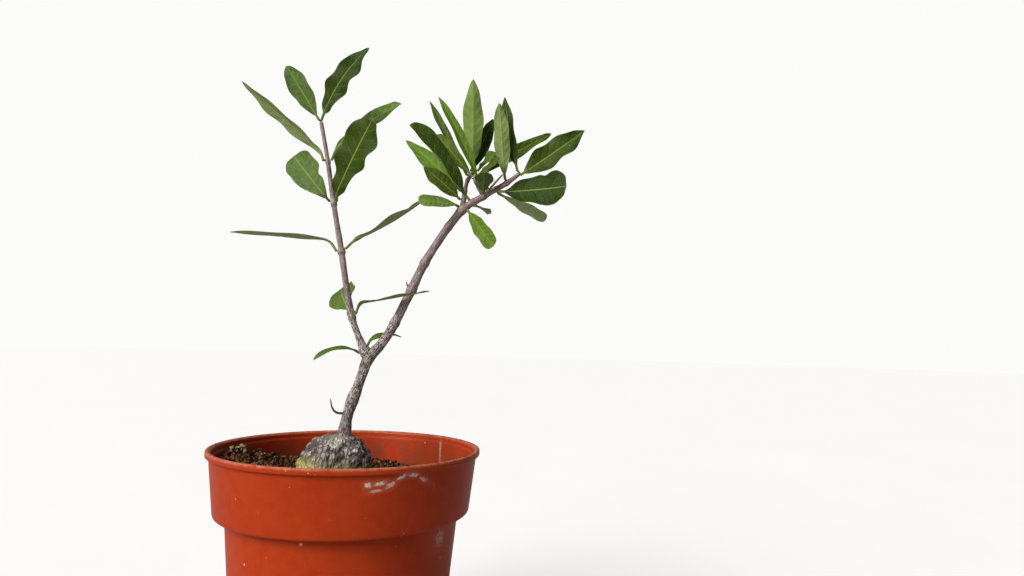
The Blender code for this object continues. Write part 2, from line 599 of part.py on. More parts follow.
def make_leaf(leaf):
    """A thin blade on its stalk: a grid laid on the leaf's surface and thickened."""
    bm = bmesh.new()
    bmesh.ops.create_grid(bm, x_segments=LEAF_STATIONS - 1, y_segments=LEAF_STRIPS, size=1)
    bm.verts.ensure_lookup_table()
    grid = np.array([vert.co for vert in bm.verts])
    u = ((grid[:, 0] + 1) / 2) ** STALK_CROWDING
    for vert, place in zip(bm.verts, leaf_surface(leaf, u, grid[:, 1])):
        vert.co = place
    mesh = bpy.data.meshes.new(leaf.name)
    bm.to_mesh(mesh)
    bm.free()
    mesh.shade_smooth()
    blade = add_object(leaf.name, mesh, leaf_green())
    thicken = blade.modifiers.new("thickness", "SOLIDIFY")
    thicken.thickness = LEAF_THICKNESS
    thicken.offset = 0


def main():
    for leftover in list(bpy.data.objects):
        bpy.data.objects.remove(leftover, do_unlink=True)
    make_pot()
    add_object("caudex", caudex_mesh("caudex"), corky_bark())
    bed = add_object("caudex_bed", caudex_mesh("caudex_bed", CLEARANCE * 2), earth(), helper=True)
    make_soil(bed)
    make_crumbs()
    make_stems(bed)
    for leaf in LEAVES:
        make_leaf(leaf)


main()
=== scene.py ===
import math

import bpy
import numpy as np
from mathutils import Matrix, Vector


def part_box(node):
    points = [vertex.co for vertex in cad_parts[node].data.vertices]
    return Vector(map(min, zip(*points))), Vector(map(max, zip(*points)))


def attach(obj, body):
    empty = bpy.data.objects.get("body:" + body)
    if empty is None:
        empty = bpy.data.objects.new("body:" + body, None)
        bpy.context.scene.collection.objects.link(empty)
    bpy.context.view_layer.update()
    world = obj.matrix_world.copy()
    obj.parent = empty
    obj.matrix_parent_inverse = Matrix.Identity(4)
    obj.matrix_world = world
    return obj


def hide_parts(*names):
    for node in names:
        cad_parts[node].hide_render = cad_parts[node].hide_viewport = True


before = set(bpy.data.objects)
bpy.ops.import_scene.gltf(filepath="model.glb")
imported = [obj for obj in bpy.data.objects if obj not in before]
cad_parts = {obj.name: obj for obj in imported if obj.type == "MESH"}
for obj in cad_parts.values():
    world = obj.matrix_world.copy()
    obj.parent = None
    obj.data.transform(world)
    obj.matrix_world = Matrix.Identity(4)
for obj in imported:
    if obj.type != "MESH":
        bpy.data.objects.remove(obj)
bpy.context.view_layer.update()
print("frame loaded")

mm = 0.001
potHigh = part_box("pot")[1]
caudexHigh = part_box("caudex")[1]
soilLevel = potHigh.z - 12 * mm
crown = np.array([-1.9 * mm, 0, caudexHigh.z - 2 * mm])  # where the trunk leaves the caudex


# Several plane waves with seeded directions and phases added up, so about -1 to 1 and smooth.
def ripple(points, wavelength, seed, count=14):
    random = np.random.default_rng(seed)
    ways = random.normal(size=(count, 3))
    ways *= math.tau / wavelength / np.linalg.norm(ways, axis=1)[:, None]
    ways *= random.uniform(0.6, 1.5, (count, 1))
    phases = random.uniform(0, math.tau, count)
    return np.sin(points @ ways.T + phases).sum(axis=-1) / math.sqrt(count)


# 0 below low, 1 above high, and a smooth cubic step between.
def smoothStep(low, high, value):
    t = np.clip((value - low) / (high - low), 0, 1)
    return t * t * (3 - 2 * t)


def unit(vectors):
    return vectors / np.linalg.norm(vectors, axis=-1, keepdims=True)


def fullTurn(count):
    return np.linspace(0, math.tau, count, endpoint=False)


# Points at a radius, a turn and a height about the upright axis.
def polar(radius, turn, height):
    parts = np.broadcast_arrays(radius * np.cos(turn), radius * np.sin(turn), height)
    return np.stack(parts, axis=-1)


def addObject(name, data):
    made = bpy.data.objects.new(name, data)
    bpy.context.scene.collection.objects.link(made)
    return made


# Puts a mesh object in the scene that rides on the part and stands for its CAD nodes.
def addPiece(name, mesh, material, nodes=()):
    piece = addObject(name, mesh)
    mesh.materials.append(material)
    mesh.shade_smooth()
    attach(piece, "root")
    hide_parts(*nodes)
    return piece


# Attributes are arrays with one value or one vector for each vertex.
def setAttributes(mesh, attributes):
    for name, values in attributes.items():
        values = np.asarray(values, np.float32)
        kind, field = ("FLOAT_VECTOR", "vector") if values.ndim == 2 else ("FLOAT", "value")
        mesh.attributes.new(name, kind, "POINT").data.foreach_set(field, values.ravel())


# A grid of points that goes round in its columns, closed at its first and last rows by a fan
# to a pole at the row's middle. Faces are turned outwards by the sign of the volume.
def roundMesh(name, points, attributes=None):
    rows, columns = points.shape[:2]
    index = np.arange(rows * columns).reshape(rows, columns)
    turned = np.roll(index, -1, axis=1)
    quads = np.stack([index[:-1], turned[:-1], turned[1:], index[1:]], axis=-1).reshape(-1, 4)
    first, last = rows * columns, rows * columns + 1
    fans = np.concatenate([
        np.stack([np.full(columns, first), turned[0], index[0]], axis=-1),
        np.stack([np.full(columns, last), index[-1], turned[-1]], axis=-1)])
    places = np.concatenate([points.reshape(-1, 3), points[0].mean(0)[None], points[-1].mean(0)[None]])
    a, b, c = places[fans[:, 0]], places[fans[:, 1]], places[fans[:, 2]]
    volume = (a * np.cross(b, c)).sum()
    for third in ((0, 1, 2), (0, 2, 3)):
        a, b, c = (places[quads[:, k]] for k in third)
        volume += (a * np.cross(b, c)).sum()
    if volume < 0:
        quads, fans = quads[:, ::-1], fans[:, ::-1]
    mesh = bpy.data.meshes.new(name)
    mesh.from_pydata(places, [], quads.tolist() + fans.tolist())
    spread = {}
    for key, values in (attributes or {}).items():
        ends = np.stack([values[0].mean(0), values[-1].mean(0)])
        spread[key] = np.concatenate([values.reshape(rows * columns, -1), ends.reshape(2, -1)])
        if values.ndim == 2:
            spread[key] = spread[key][:, 0]
    setAttributes(mesh, spread)
    return mesh


# A profile of (radius, height) points turned about the upright axis through the origin.
def turnedPoints(profile, columns):
    return polar(profile[:, 0, None], fullTurn(columns), profile[:, 1, None])


# A shader node with its settings. An input takes a number or colour, or is linked to a socket.
def makeNode(tree, kind, inputs=None, **settings):
    made = tree.nodes.new("ShaderNode" + kind)
    for key, value in settings.items():
        setattr(made, key, value)
    for key, value in (inputs or {}).items():
        if isinstance(value, bpy.types.NodeSocket):
            tree.links.new(value, made.inputs[key])
        else:
            made.inputs[key].default_value = value
    return made


def calculate(tree, operation, a, b=0.5, c=0.5):
    inputs = {0: a, 1: b, 2: c}
    return makeNode(tree, "Math", inputs, operation=operation).outputs[0]


def times(tree, a, b):
    return calculate(tree, "MULTIPLY", a, b)


def timesPlus(tree, a, b, c):
    return calculate(tree, "MULTIPLY_ADD", a, b, c)


# 0 to 1 as the value goes from low to high, eased. With low above high it falls instead.
def ease(tree, value, low, high):
    inputs = {"Value": value, "From Min": low, "From Max": high}
    return makeNode(tree, "MapRange", inputs, interpolation_type="SMOOTHSTEP").outputs[0]


def blend(tree, share, first, second, how="MIX"):
    inputs = {0: share, 6: first, 7: second}
    return makeNode(tree, "Mix", inputs, data_type="RGBA", blend_type=how).outputs[2]


# The colour turned towards another where the mask is, by a share of it.
def tint(tree, colour, mask, share, other):
    return blend(tree, times(tree, mask, share), colour, other)


def noise(tree, place, scale, detail=4.0, roughness=0.55, distortion=0.0):
    inputs = {"Vector": place, "Scale": scale, "Detail": detail, "Roughness": roughness,
              "Distortion": distortion}
    return makeNode(tree, "TexNoise", inputs).outputs[0]


def cells(tree, place, scale, feature="F1"):
    return makeNode(tree, "TexVoronoi", {"Vector": place, "Scale": scale}, feature=feature).outputs[0]


def scaled(tree, place, size):
    return makeNode(tree, "Mapping", {"Vector": place, "Scale": size}).outputs[0]


def objectPlace(tree):
    return makeNode(tree, "TexCoord").outputs["Object"]


def attribute(tree, name):
    return makeNode(tree, "Attribute", attribute_name=name, attribute_type="GEOMETRY")


def axes(tree, vector):
    return makeNode(tree, "SeparateXYZ", {"Vector": vector}).outputs


def rgb(red, green, blue):
    return (red, green, blue, 1.0)


# A node group from its input sockets, its output sockets and a function that wires it.
def makeGroup(name, inputs, outputs, wire):
    tree = bpy.data.node_groups.new(name, "ShaderNodeTree")
    for label, (kind, value) in inputs.items():
        socket = tree.interface.new_socket(label, in_out="INPUT", socket_type="NodeSocket" + kind)
        socket.default_value = value
    for label, kind in outputs.items():
        tree.interface.new_socket(label, in_out="OUTPUT", socket_type="NodeSocket" + kind)
    entry, result = tree.nodes.new("NodeGroupInput"), tree.nodes.new("NodeGroupOutput")
    for label, socket in wire(tree, entry.outputs).items():
        tree.links.new(socket, result.inputs[label])
    return tree


def useGroup(tree, group, **inputs):
    made = makeNode(tree, "Group", node_tree=group)
    for label, value in inputs.items():
        socket = made.inputs[label]
        if isinstance(value, bpy.types.NodeSocket):
            tree.links.new(value, socket)
        else:
            socket.default_value = value
    return made.outputs


# Two colours mixed by a coarse and a fine noise.
def wireMottle(tree, given):
    coarse = noise(tree, given["Place"], given["Scale"], 3.0)
    fineScale = times(tree, given["Scale"], 5.3)
    fine = noise(tree, given["Place"], fineScale, 5.0, 0.65)
    both = timesPlus(tree, fine, 0.45, times(tree, coarse, 0.55))
    share = ease(tree, both, 0.36, 0.64)
    return {"Color": blend(tree, share, given["First"], given["Second"]), "Mask": share}


# Small round specks, fewer than the cells, of uneven size.
def wireSpecks(tree, given):
    near = cells(tree, given["Place"], given["Scale"])
    patch = noise(tree, given["Place"], times(tree, given["Scale"], 0.31), 2.0)
    reach = times(tree, ease(tree, patch, 0.48, 0.78), given["Size"])
    return {"Mask": calculate(tree, "LESS_THAN", near, reach)}


# Long splits that run along the place's third axis, with finer ones between them.
def wireFissures(tree, given):
    long = scaled(tree, given["Place"], (1.0, 1.0, 0.2))
    bent = noise(tree, long, times(tree, given["Scale"], 0.8), 3.0)
    sway = makeNode(tree, "VectorMath", {0: bent, 3: 0.0011}, operation="SCALE").outputs[0]
    moved = makeNode(tree, "VectorMath", {0: long, 1: sway}, operation="ADD").outputs[0]
    edge = cells(tree, moved, given["Scale"], "DISTANCE_TO_EDGE")
    fine = cells(tree, moved, times(tree, given["Scale"], 2.7), "DISTANCE_TO_EDGE")
    wide = ease(tree, edge, 0.0, 0.22)
    thin = ease(tree, fine, 0.0, 0.3)
    height = timesPlus(tree, thin, 0.3, times(tree, wide, 0.7))
    return {"Height": height, "Crack": calculate(tree, "SUBTRACT", 1.0, wide)}


# Uneven fine relief for rough surfaces.
def wireGrain(tree, given):
    rough = noise(tree, given["Place"], given["Scale"], 8.0, 0.7)
    lumps = cells(tree, given["Place"], times(tree, given["Scale"], 0.6))
    return {"Height": timesPlus(tree, lumps, -0.5, rough)}


place3d = ("Vector", (0.0, 0.0, 0.0))
mottle = makeGroup("mottle", {"Place": place3d, "Scale": ("Float", 100.0),
                              "First": ("Color", rgb(0.5, 0.5, 0.5)),
                              "Second": ("Color", rgb(0.4, 0.4, 0.4))},
                   {"Color": "Color", "Mask": "Float"}, wireMottle)
specks = makeGroup("specks", {"Place": place3d, "Scale": ("Float", 600.0), "Size": ("Float", 0.3)},
                   {"Mask": "Float"}, wireSpecks)
fissures = makeGroup("fissures", {"Place": place3d, "Scale": ("Float", 900.0)},
                     {"Height": "Float", "Crack": "Float"}, wireFissures)
grain = makeGroup("grain", {"Place": place3d, "Scale": ("Float", 1500.0)},
                  {"Height": "Float"}, wireGrain)


def mottled(tree, place, scale, first, second):
    return useGroup(tree, mottle, Place=place, Scale=scale, First=first, Second=second)["Color"]


def speckled(tree, place, scale, size):
    return useGroup(tree, specks, Place=place, Scale=scale, Size=size)["Mask"]


# A material whose Principled shader takes the sockets and numbers given, with a bump of a depth
# in metres under it.
def makeMaterial(name, wire):
    material = bpy.data.materials.new(name)
    material.use_nodes = True
    tree = material.node_tree
    shader = tree.nodes["Principled BSDF"]
    height, depth, inputs = wire(tree)
    for label, value in inputs.items():
        if isinstance(value, bpy.types.NodeSocket):
            tree.links.new(value, shader.inputs[label])
        else:
            shader.inputs[label].default_value = value
    bump = makeNode(tree, "Bump", {"Height": height, "Distance": depth, "Strength": 1.0})
    tree.links.new(bump.outputs[0], shader.inputs["Normal"])
    return material


pot = {
    "lipHeight": 2.6 * mm, "lipReach": 1.2 * mm, "bandHeight": 24.4 * mm, "bandTaper": 2.6 * mm,
    "shoulderStep": 4.2 * mm, "footRadius": 38 * mm, "wall": 1.3 * mm, "ledgeSlope": 1.5 * mm,
    "channelDepth": 2.2 * mm, "padRadius": 13 * mm, "footRing": 3 * mm, "holeRadius": 3.2 * mm,
    "holes": 8, "holeSides": 40, "columns": 220,
    "plastic": rgb(0.43, 0.043, 0.007), "plasticDeep": rgb(0.38, 0.032, 0.005),
    "worn": rgb(0.62, 0.25, 0.15), "lime": rgb(0.78, 0.66, 0.58),
    "film": rgb(0.13, 0.045, 0.025), "dirt": rgb(0.05, 0.026, 0.014), "gloss": 0.34,
}
rimRadius, potHeight = potHigh.x, potHigh.z
bandTop = rimRadius - pot["lipReach"]
bandFoot = bandTop - pot["bandTaper"]
bodyTop = bandFoot - pot["shoulderStep"]
shoulder = potHeight - pot["bandHeight"]
ledge = shoulder + pot["wall"]
floorTop = pot["channelDepth"] + pot["wall"]


# The inside of the wall at a height: straight lines from the floor to the ledge and the rim.
def innerRadius(height):
    heights = [0, ledge, ledge + pot["ledgeSlope"], potHeight]
    return np.interp(height, heights, [pot["footRadius"], bodyTop, bandFoot, bandTop]) - pot["wall"]


# Straight lines between corners, each corner (x, y, radius) rounded by a curve of the second
# degree that starts and ends the radius away from it, and each line cut into short steps.
def roundedProfile(corners, step):
    corners = np.array(corners, float)
    line = [corners[0, :2]]
    for before, corner, after in zip(corners, corners[1:], corners[2:]):
        start, end = before[:2] - corner[:2], after[:2] - corner[:2]
        reach = min(corner[2], np.linalg.norm(start) * 0.45, np.linalg.norm(end) * 0.45)
        start, end = unit(start) * reach + corner[:2], unit(end) * reach + corner[:2]
        t = np.linspace(0, 1, 7)[:, None]
        line.extend((1 - t) ** 2 * start + 2 * t * (1 - t) * corner[:2] + t ** 2 * end)
    line = np.array(line + [corners[-1, :2]])
    lengths = np.linalg.norm(np.diff(line, axis=0), axis=1)
    pieces = [np.linspace(a, b, max(2, int(length / step) + 1))[:-1]
              for a, b, length in zip(line, line[1:], lengths) if length > 1e-7]
    return np.concatenate(pieces + [line[-1:]])


def makePot():
    lipFoot = potHeight - pot["lipHeight"]
    ringInner = pot["footRadius"] - pot["footRing"]
    depth, pad = pot["channelDepth"], pot["padRadius"]
    corners = [
        (pad * 0.02, 0, 0), (pad, 0, 0.4 * mm), (pad + depth, depth, 0.4 * mm),
        (ringInner - depth, depth, 0.4 * mm), (ringInner, 0, 0.4 * mm),
        (pot["footRadius"], 0, 0.8 * mm), (bodyTop, shoulder, 0.9 * mm),
        (bandFoot, shoulder, 1.3 * mm), (bandTop - 0.1 * mm, lipFoot, 0.4 * mm),
        (rimRadius, lipFoot + 0.2 * mm, 0.7 * mm), (rimRadius, potHeight - 0.3 * mm, 0.8 * mm),
        (rimRadius - 0.9 * mm, potHeight, 0.7 * mm),
        (innerRadius(potHeight) + 0.2 * mm, potHeight - 0.7 * mm, 0.6 * mm),
        (innerRadius(potHeight) + 0.05 * mm, potHeight - 2.4 * mm, 0.2 * mm),
        (innerRadius(potHeight) - 0.5 * mm, potHeight - 3.0 * mm, 0.4 * mm),
        (innerRadius(ledge + pot["ledgeSlope"]), ledge + pot["ledgeSlope"], 1.2 * mm),
        (innerRadius(ledge), ledge, 1.2 * mm), (innerRadius(floorTop), floorTop, 1.5 * mm),
        (pad * 0.02, floorTop, 0),
    ]
    profile = roundedProfile(corners, 4 * mm)
    body = addPiece("nurseryPot", roundMesh("nurseryPot", turnedPoints(profile, pot["columns"])),
                    makeMaterial("pottedPlastic", wirePlastic), ["pot"])
    # The drain holes are drilled through the groove, then the drills are thrown away.
    turn = fullTurn(pot["holeSides"])
    middle = (pad + ringInner) / 2
    drills = []
    for hole in range(pot["holes"]):
        angle = math.tau * hole / pot["holes"]
        centre = middle * np.array([math.cos(angle), math.sin(angle), 0])
        tube = np.stack([polar(pot["holeRadius"], turn, z) + centre for z in (-2 * mm, 8 * mm)])
        drill = addObject("drill", roundMesh("drill", tube))
        boolean = body.modifiers.new("drainHole", "BOOLEAN")
        boolean.object = drill
        drills.append(drill)
    bpy.context.view_layer.update()
    drilled = bpy.data.meshes.new_from_object(body.evaluated_get(bpy.context.evaluated_depsgraph_get()))
    body.modifiers.clear()
    body.data = drilled
    places = np.zeros(len(drilled.vertices) * 3)
    drilled.vertices.foreach_get("co", places)
    places = places.reshape(-1, 3)
    wallMiddle = innerRadius(places[:, 2]) + pot["wall"] * 0.5
    inside = np.hypot(places[:, 0], places[:, 1]) < wallMiddle
    setAttributes(drilled, {"inside": inside & (places[:, 2] > floorTop * 0.8)})
    for drill in drills:
        bpy.data.objects.remove(drill)
    print("pot:", len(drilled.vertices), "vertices")


# Smears of lime on the wall: where and how big in mm, how much they climb towards +X and how
# strong they are.
limeMarks = [
    {"at": (18.0, -47.3, 87.2), "size": (2.2, 5, 1.7), "slope": 0.0, "share": 0.85},
    {"at": (21.7, -45.8, 87.6), "size": (4.4, 5, 1.5), "slope": 0.1, "share": 0.95},
    {"at": (20.3, -46.2, 85.1), "size": (4.0, 5, 1.2), "slope": 0.15, "share": 0.55},
    {"at": (25.0, -44.2, 87.0), "size": (3.4, 5, 1.8), "slope": 0.5, "share": 0.75},
    {"at": (28.2, -42.5, 89.2), "size": (3.6, 5, 1.3), "slope": 0.4, "share": 0.9},
    {"at": (31.6, -40.0, 89.6), "size": (4.4, 5, 1.4), "slope": 0.0, "share": 1.0},
    {"at": (35.0, -37.0, 87.6), "size": (3.0, 5, 1.8), "slope": -0.6, "share": 0.55},
    {"at": (33.4, 35.7, 86.0), "size": (0.9, 6, 11), "slope": 0.0, "share": 0.6},
    {"at": (40.5, -21.0, 63.0), "size": (4.5, 9, 7), "slope": 0.0, "share": 0.4},
]


# The place measured from a centre, with each axis divided by a size.
def scaledFrom(tree, place, centre, size):
    inputs = {"Vector": place, "Location": tuple(-c / s for c, s in zip(centre, size)),
              "Scale": tuple(1 / s for s in size)}
    return makeNode(tree, "Mapping", inputs).outputs[0]


# Terracotta-coloured plastic: slight clouding, a pale top edge on the lip that is partly wear and
# partly a painted highlight, lime marks on the band's right front, splashes of soil inside,
# fine upright scratches and specks.
def wirePlastic(tree):
    place = objectPlace(tree)
    x, y, z = axes(tree, place)
    colour = mottled(tree, place, 38.0, pot["plastic"], pot["plasticDeep"])
    # The lip's top edge is paler, broken by noise: partly wear and partly a painted highlight along the rim.
    edge = noise(tree, place, 420.0, 6.0, 0.7)
    lip = times(tree, ease(tree, z, potHeight - 1.3 * mm, potHeight - 0.2 * mm),
                ease(tree, edge, 0.30, 0.62))
    colour = tint(tree, colour, lip, 0.75, pot["worn"])
    # Lime: smears that slant across the wall, each with a thin halo about its crusts.
    crust = noise(tree, place, 900.0, 9.0, 0.80, 0.9)
    blot = halo = 0.0
    for mark in limeMarks:
        sloped = timesPlus(tree, x, -mark["slope"], z)
        moved = makeNode(tree, "CombineXYZ", {0: x, 1: y, 2: sloped}).outputs[0]
        markX, markY, markZ = (value * mm for value in mark["at"])
        near = scaledFrom(tree, moved, (markX, markY, markZ - mark["slope"] * markX),
                          [value * mm for value in mark["size"]])
        away = makeNode(tree, "VectorMath", {0: near}, operation="LENGTH").outputs["Value"]
        inside = ease(tree, away, 1.0, 0.1)
        part = ease(tree, timesPlus(tree, inside, 0.26, crust), 0.63, 0.77)
        blot = calculate(tree, "MAXIMUM", blot, times(tree, part, mark["share"]))
        thin = times(tree, ease(tree, away, 1.5, 0.5), 0.45 * mark["share"])
        halo = calculate(tree, "MAXIMUM", halo, thin)
    colour = tint(tree, colour, halo, crust, pot["worn"])
    colour = blend(tree, blot, colour, pot["lime"])
    # Fine scratches stretched upright, and specks.
    long = scaled(tree, place, (1.0, 1.0, 0.07))
    scratch = ease(tree, noise(tree, long, 900.0, 3.0, 0.5, 0.4), 0.69, 0.76)
    scratchShare = times(tree, scratch, 0.16)
    colour = blend(tree, scratchShare, colour, pot["worn"])
    speck = speckled(tree, place, 300.0, 0.22)
    colour = tint(tree, colour, speck, 0.45, pot["lime"])
    # Soil clings in splashes to the inner wall just above the soil, and the inner wall is darker towards the
    # soil.
    within = attribute(tree, "inside").outputs["Fac"]
    splash = calculate(tree, "ADD", noise(tree, place, 260.0, 8.0, 0.7),
                       ease(tree, z, soilLevel + 5 * mm, soilLevel - 4 * mm))
    dirt = times(tree, ease(tree, splash, 1.30, 1.46), within)
    colour = tint(tree, colour, dirt, 0.9, pot["dirt"])
    film = times(tree, ease(tree, noise(tree, place, 70.0, 6.0, 0.6), 0.30, 0.62),
                 ease(tree, z, potHeight + 2 * mm, soilLevel - 2 * mm))
    film = times(tree, film, within)
    colour = tint(tree, colour, film, 0.7, pot["film"])
    rough = timesPlus(tree, noise(tree, place, 90.0, 5.0), 0.16, pot["gloss"] - 0.08)
    rough = timesPlus(tree, blot, 0.45, rough)
    rough = timesPlus(tree, dirt, 0.4, rough)
    height = timesPlus(tree, blot, 0.5, noise(tree, place, 700.0, 4.0, 0.6))
    return height, 0.00006, {"Base Color": colour, "Roughness": rough, "IOR": 1.48,
                             "Specular IOR Level": 0.11}


makePot()


caudex = {
    "radius": 14 * mm, "above": 16.3 * mm, "middle": (-4.6 * mm, 0.0), "buried": 12 * mm,
    "rootRadius": 3 * mm, "lumps": 0.8 * mm, "warts": 0.75 * mm, "rows": 180, "columns": 260,
    "squareness": 0.72, "widestShare": 0.12, "seeds": 240,
    "skin": rgb(0.31, 0.25, 0.255), "skinDark": rgb(0.085, 0.062, 0.070),
    "scars": [((-1.4, -8.2, 0), 3.3), ((-0.2, -5.0, 1.0), 3.4), ((-1.2, -12.3, -4.8), 1.1),
              ((3.2, -9.4, -2.4), 0.8), ((6.3, -7.3, -3.1), 0.9)],  # mm from the crown, radius
    "chalk": rgb(0.80, 0.75, 0.67), "moss": rgb(0.27, 0.285, 0.085), "straw": rgb(0.68, 0.53, 0.22),
}


# A flattened ball from its top to a narrow root, pushed out by long waves and by warts, which
# are the rounded tops around seeded points, weakest at the top and under the soil.
def caudexPoints():
    angle = np.linspace(0.02, math.pi, caudex["rows"])[:, None]
    turn = fullTurn(caudex["columns"])[None, :]
    top, middle = caudexHigh.z, soilLevel + caudex["above"] * caudex["widestShare"]
    bottom = soilLevel - caudex["buried"]
    side, height = np.sin(angle) ** caudex["squareness"], np.cos(angle)
    z = middle + height * np.where(height > 0, top - middle, middle - bottom)
    radius = caudex["radius"] * side
    radius = np.where(height < 0, np.maximum(radius, caudex["rootRadius"]), radius)
    lumps = np.sin(3 * turn + 2 * angle) + 0.6 * np.sin(5 * turn - 3 * angle)
    lumps = lumps + 0.5 * np.cos(7 * turn + 5 * angle)
    radius = radius + caudex["lumps"] * side * lumps * np.clip(4 * height, 0, 1)
    last = (height < -0.995)
    radius = np.where(last, radius * 0.4, radius)
    points = polar(radius, turn, z) + np.array([*caudex["middle"], 0])
    centre = np.array([*caudex["middle"], middle])
    outward = unit(points - centre)
    random = np.random.default_rng(11)
    seeds = unit(random.normal(size=(caudex["seeds"], 3)) + np.array([0, 0, 0.25]))
    near = np.full(points.shape[:2], 9.0)
    for seed in seeds:
        near = np.minimum(near, np.linalg.norm(outward - seed, axis=-1))
    wart = 1 - smoothStep(0.02, 0.17, near)
    fade = smoothStep(-0.3, 0.05, height) * (1 - 0.7 * smoothStep(0.9, 1.0, height))
    rough = 0.5 * ripple(points, 3.2 * mm, 5) + 0.25 * ripple(points, 1.3 * mm, 6)
    push = (caudex["warts"] * (wart - 0.35) + 0.35 * mm * rough) * fade
    return points + outward * push[..., None], wart


# Warty grey-purple skin, dark between the warts, chalky by the trunk, mossy and straw-coloured
# towards the soil on its left.
def wireCaudex(tree):
    place = objectPlace(tree)
    x, _, z = axes(tree, place)
    wart = attribute(tree, "wart").outputs["Fac"]
    colour = mottled(tree, place, 260.0, caudex["skinDark"], caudex["skin"])
    split = useGroup(tree, fissures, Place=place, Scale=760.0)
    colour = blend(tree, ease(tree, wart, 0.25, 1.0), colour, rgb(0.42, 0.36, 0.36))
    colour = tint(tree, colour, split["Crack"], 0.75, rgb(0.035, 0.024, 0.024))
    patchy = noise(tree, place, 330.0, 7.0, 0.72)
    for offset, size in caudex["scars"]:
        near = scaledFrom(tree, place, tuple(crown + np.array(offset) * mm), [size * mm] * 3)
        away = makeNode(tree, "VectorMath", {0: near}, operation="LENGTH").outputs["Value"]
        chalk = ease(tree, calculate(tree, "ADD", patchy, ease(tree, away, 1.4, 0.4)), 0.92, 1.08)
        colour = tint(tree, colour, chalk, 0.9, caudex["chalk"])
    topPart = times(tree, ease(tree, z, caudexHigh.z - 3 * mm, caudexHigh.z), 0.6)
    colour = blend(tree, topPart, colour, rgb(0.34, 0.31, 0.27))
    grey = noise(tree, scaled(tree, place, (1.0, 1.0, 0.35)), 620.0, 6.0, 0.7)
    tilted = timesPlus(tree, x, 0.12, timesPlus(tree, grey, 0.010, z))
    low = ease(tree, tilted, soilLevel + 15 * mm, soilLevel + 9.5 * mm)
    colour = tint(tree, colour, low, 0.75, caudex["moss"])
    left = times(tree, ease(tree, x, 4 * mm, -12 * mm), ease(tree, tilted, soilLevel + 12.5 * mm,
                                                             soilLevel + 7.5 * mm))
    colour = tint(tree, colour, left, 0.85, caudex["straw"])
    colour = tint(tree, colour, split["Crack"], 0.5, rgb(0.06, 0.045, 0.03))
    fleck = speckled(tree, place, 700.0, 0.55)
    colour = tint(tree, colour, fleck, 0.7, rgb(0.70, 0.65, 0.58))
    rough = useGroup(tree, grain, Place=place, Scale=900.0)["Height"]
    height = calculate(tree, "ADD", times(tree, split["Height"], 0.8), rough)
    return height, 0.00035, {"Base Color": colour, "Roughness": 0.86, "Specular IOR Level": 0.25}


caudexShape, wartShare = caudexPoints()
addPiece("swollenBase", roundMesh("swollenBase", caudexShape, {"wart": wartShare}),
         makeMaterial("caudexSkin", wireCaudex), ["caudex"])
print("caudex:", caudexShape.shape[0] * caudexShape.shape[1], "points")


soil = {
    "heapHeight": 7.5 * mm, "heapHeading": 182, "heapSpread": 60,
    "dipDepth": 4.5 * mm, "dipHeading": 20, "dipSpread": 90, "rows": 130, "columns": 330,
    "levelShare": 0.35, "riseShare": 0.5, "smoothShare": 0.3, "gap": 0.35 * mm,
    "crumbs": 700, "fibres": 46, "dark": rgb(0.070, 0.031, 0.016), "brown": rgb(0.33, 0.155, 0.070),
    "tan": rgb(0.52, 0.34, 0.19),
}


# 1 towards the heading, falling smoothly to 0 a spread away on each side.
def bank(turn, heading, spread):
    away = (np.degrees(turn) - heading + 180) % 360 - 180
    return np.clip(1 - (away / spread) ** 2, 0, 1) ** 2


# Level soil, heaped up near the wall on one side and settled on the other, with long and short
# roughness.
def soilHeight(radius, turn):
    inner = innerRadius(soilLevel)
    heap = soil["heapHeight"] * bank(turn, soil["heapHeading"], soil["heapSpread"])
    heap = heap - soil["dipDepth"] * bank(turn, soil["dipHeading"], soil["dipSpread"])
    heap = heap * np.clip((radius / inner - soil["levelShare"]) / soil["riseShare"], 0, 1)
    x, y = radius * np.cos(turn), radius * np.sin(turn)
    rough = np.sin(410 * x + 1.3) * np.cos(370 * y) + 0.6 * np.sin(930 * x - 710 * y)
    flat = np.stack([x, y, 0 * x], axis=-1)
    crumbly = 0.45 * ripple(flat, 4.5 * mm, 21) + 0.3 * ripple(flat, 2.0 * mm, 22)
    crumbly = crumbly + 0.2 * ripple(flat, 0.9 * mm, 23)
    rough = 0.5 * rough * np.clip(radius / (soil["smoothShare"] * inner), 0, 1)
    return soilLevel + heap + (rough + crumbly) * mm


# The top is a polar grid; below its edge the rows follow the pot's inside down to its floor.
def soilPoints():
    turn = fullTurn(soil["columns"])[None, :]
    gap = soil["gap"]
    edge = innerRadius(soilLevel) - gap
    radius = (np.linspace(0.02, 1, soil["rows"]) ** 0.8 * edge)[:, None] + 0 * turn
    reach = innerRadius(soilHeight(edge + 0 * turn, turn)) - gap * 2.2
    radius = radius * reach / edge
    height = soilHeight(radius, turn)
    heights = np.array([ledge + pot["ledgeSlope"] + gap, ledge + gap, floorTop + gap])[:, None] + 0 * turn
    radii = innerRadius(heights - gap) - gap * 1.5
    last = np.full_like(heights[-1:], floorTop + gap)
    radius = np.concatenate([radius, radii, last * 0 + 0.5 * mm])
    height = np.concatenate([height, heights, last])
    return polar(radius, turn, height)


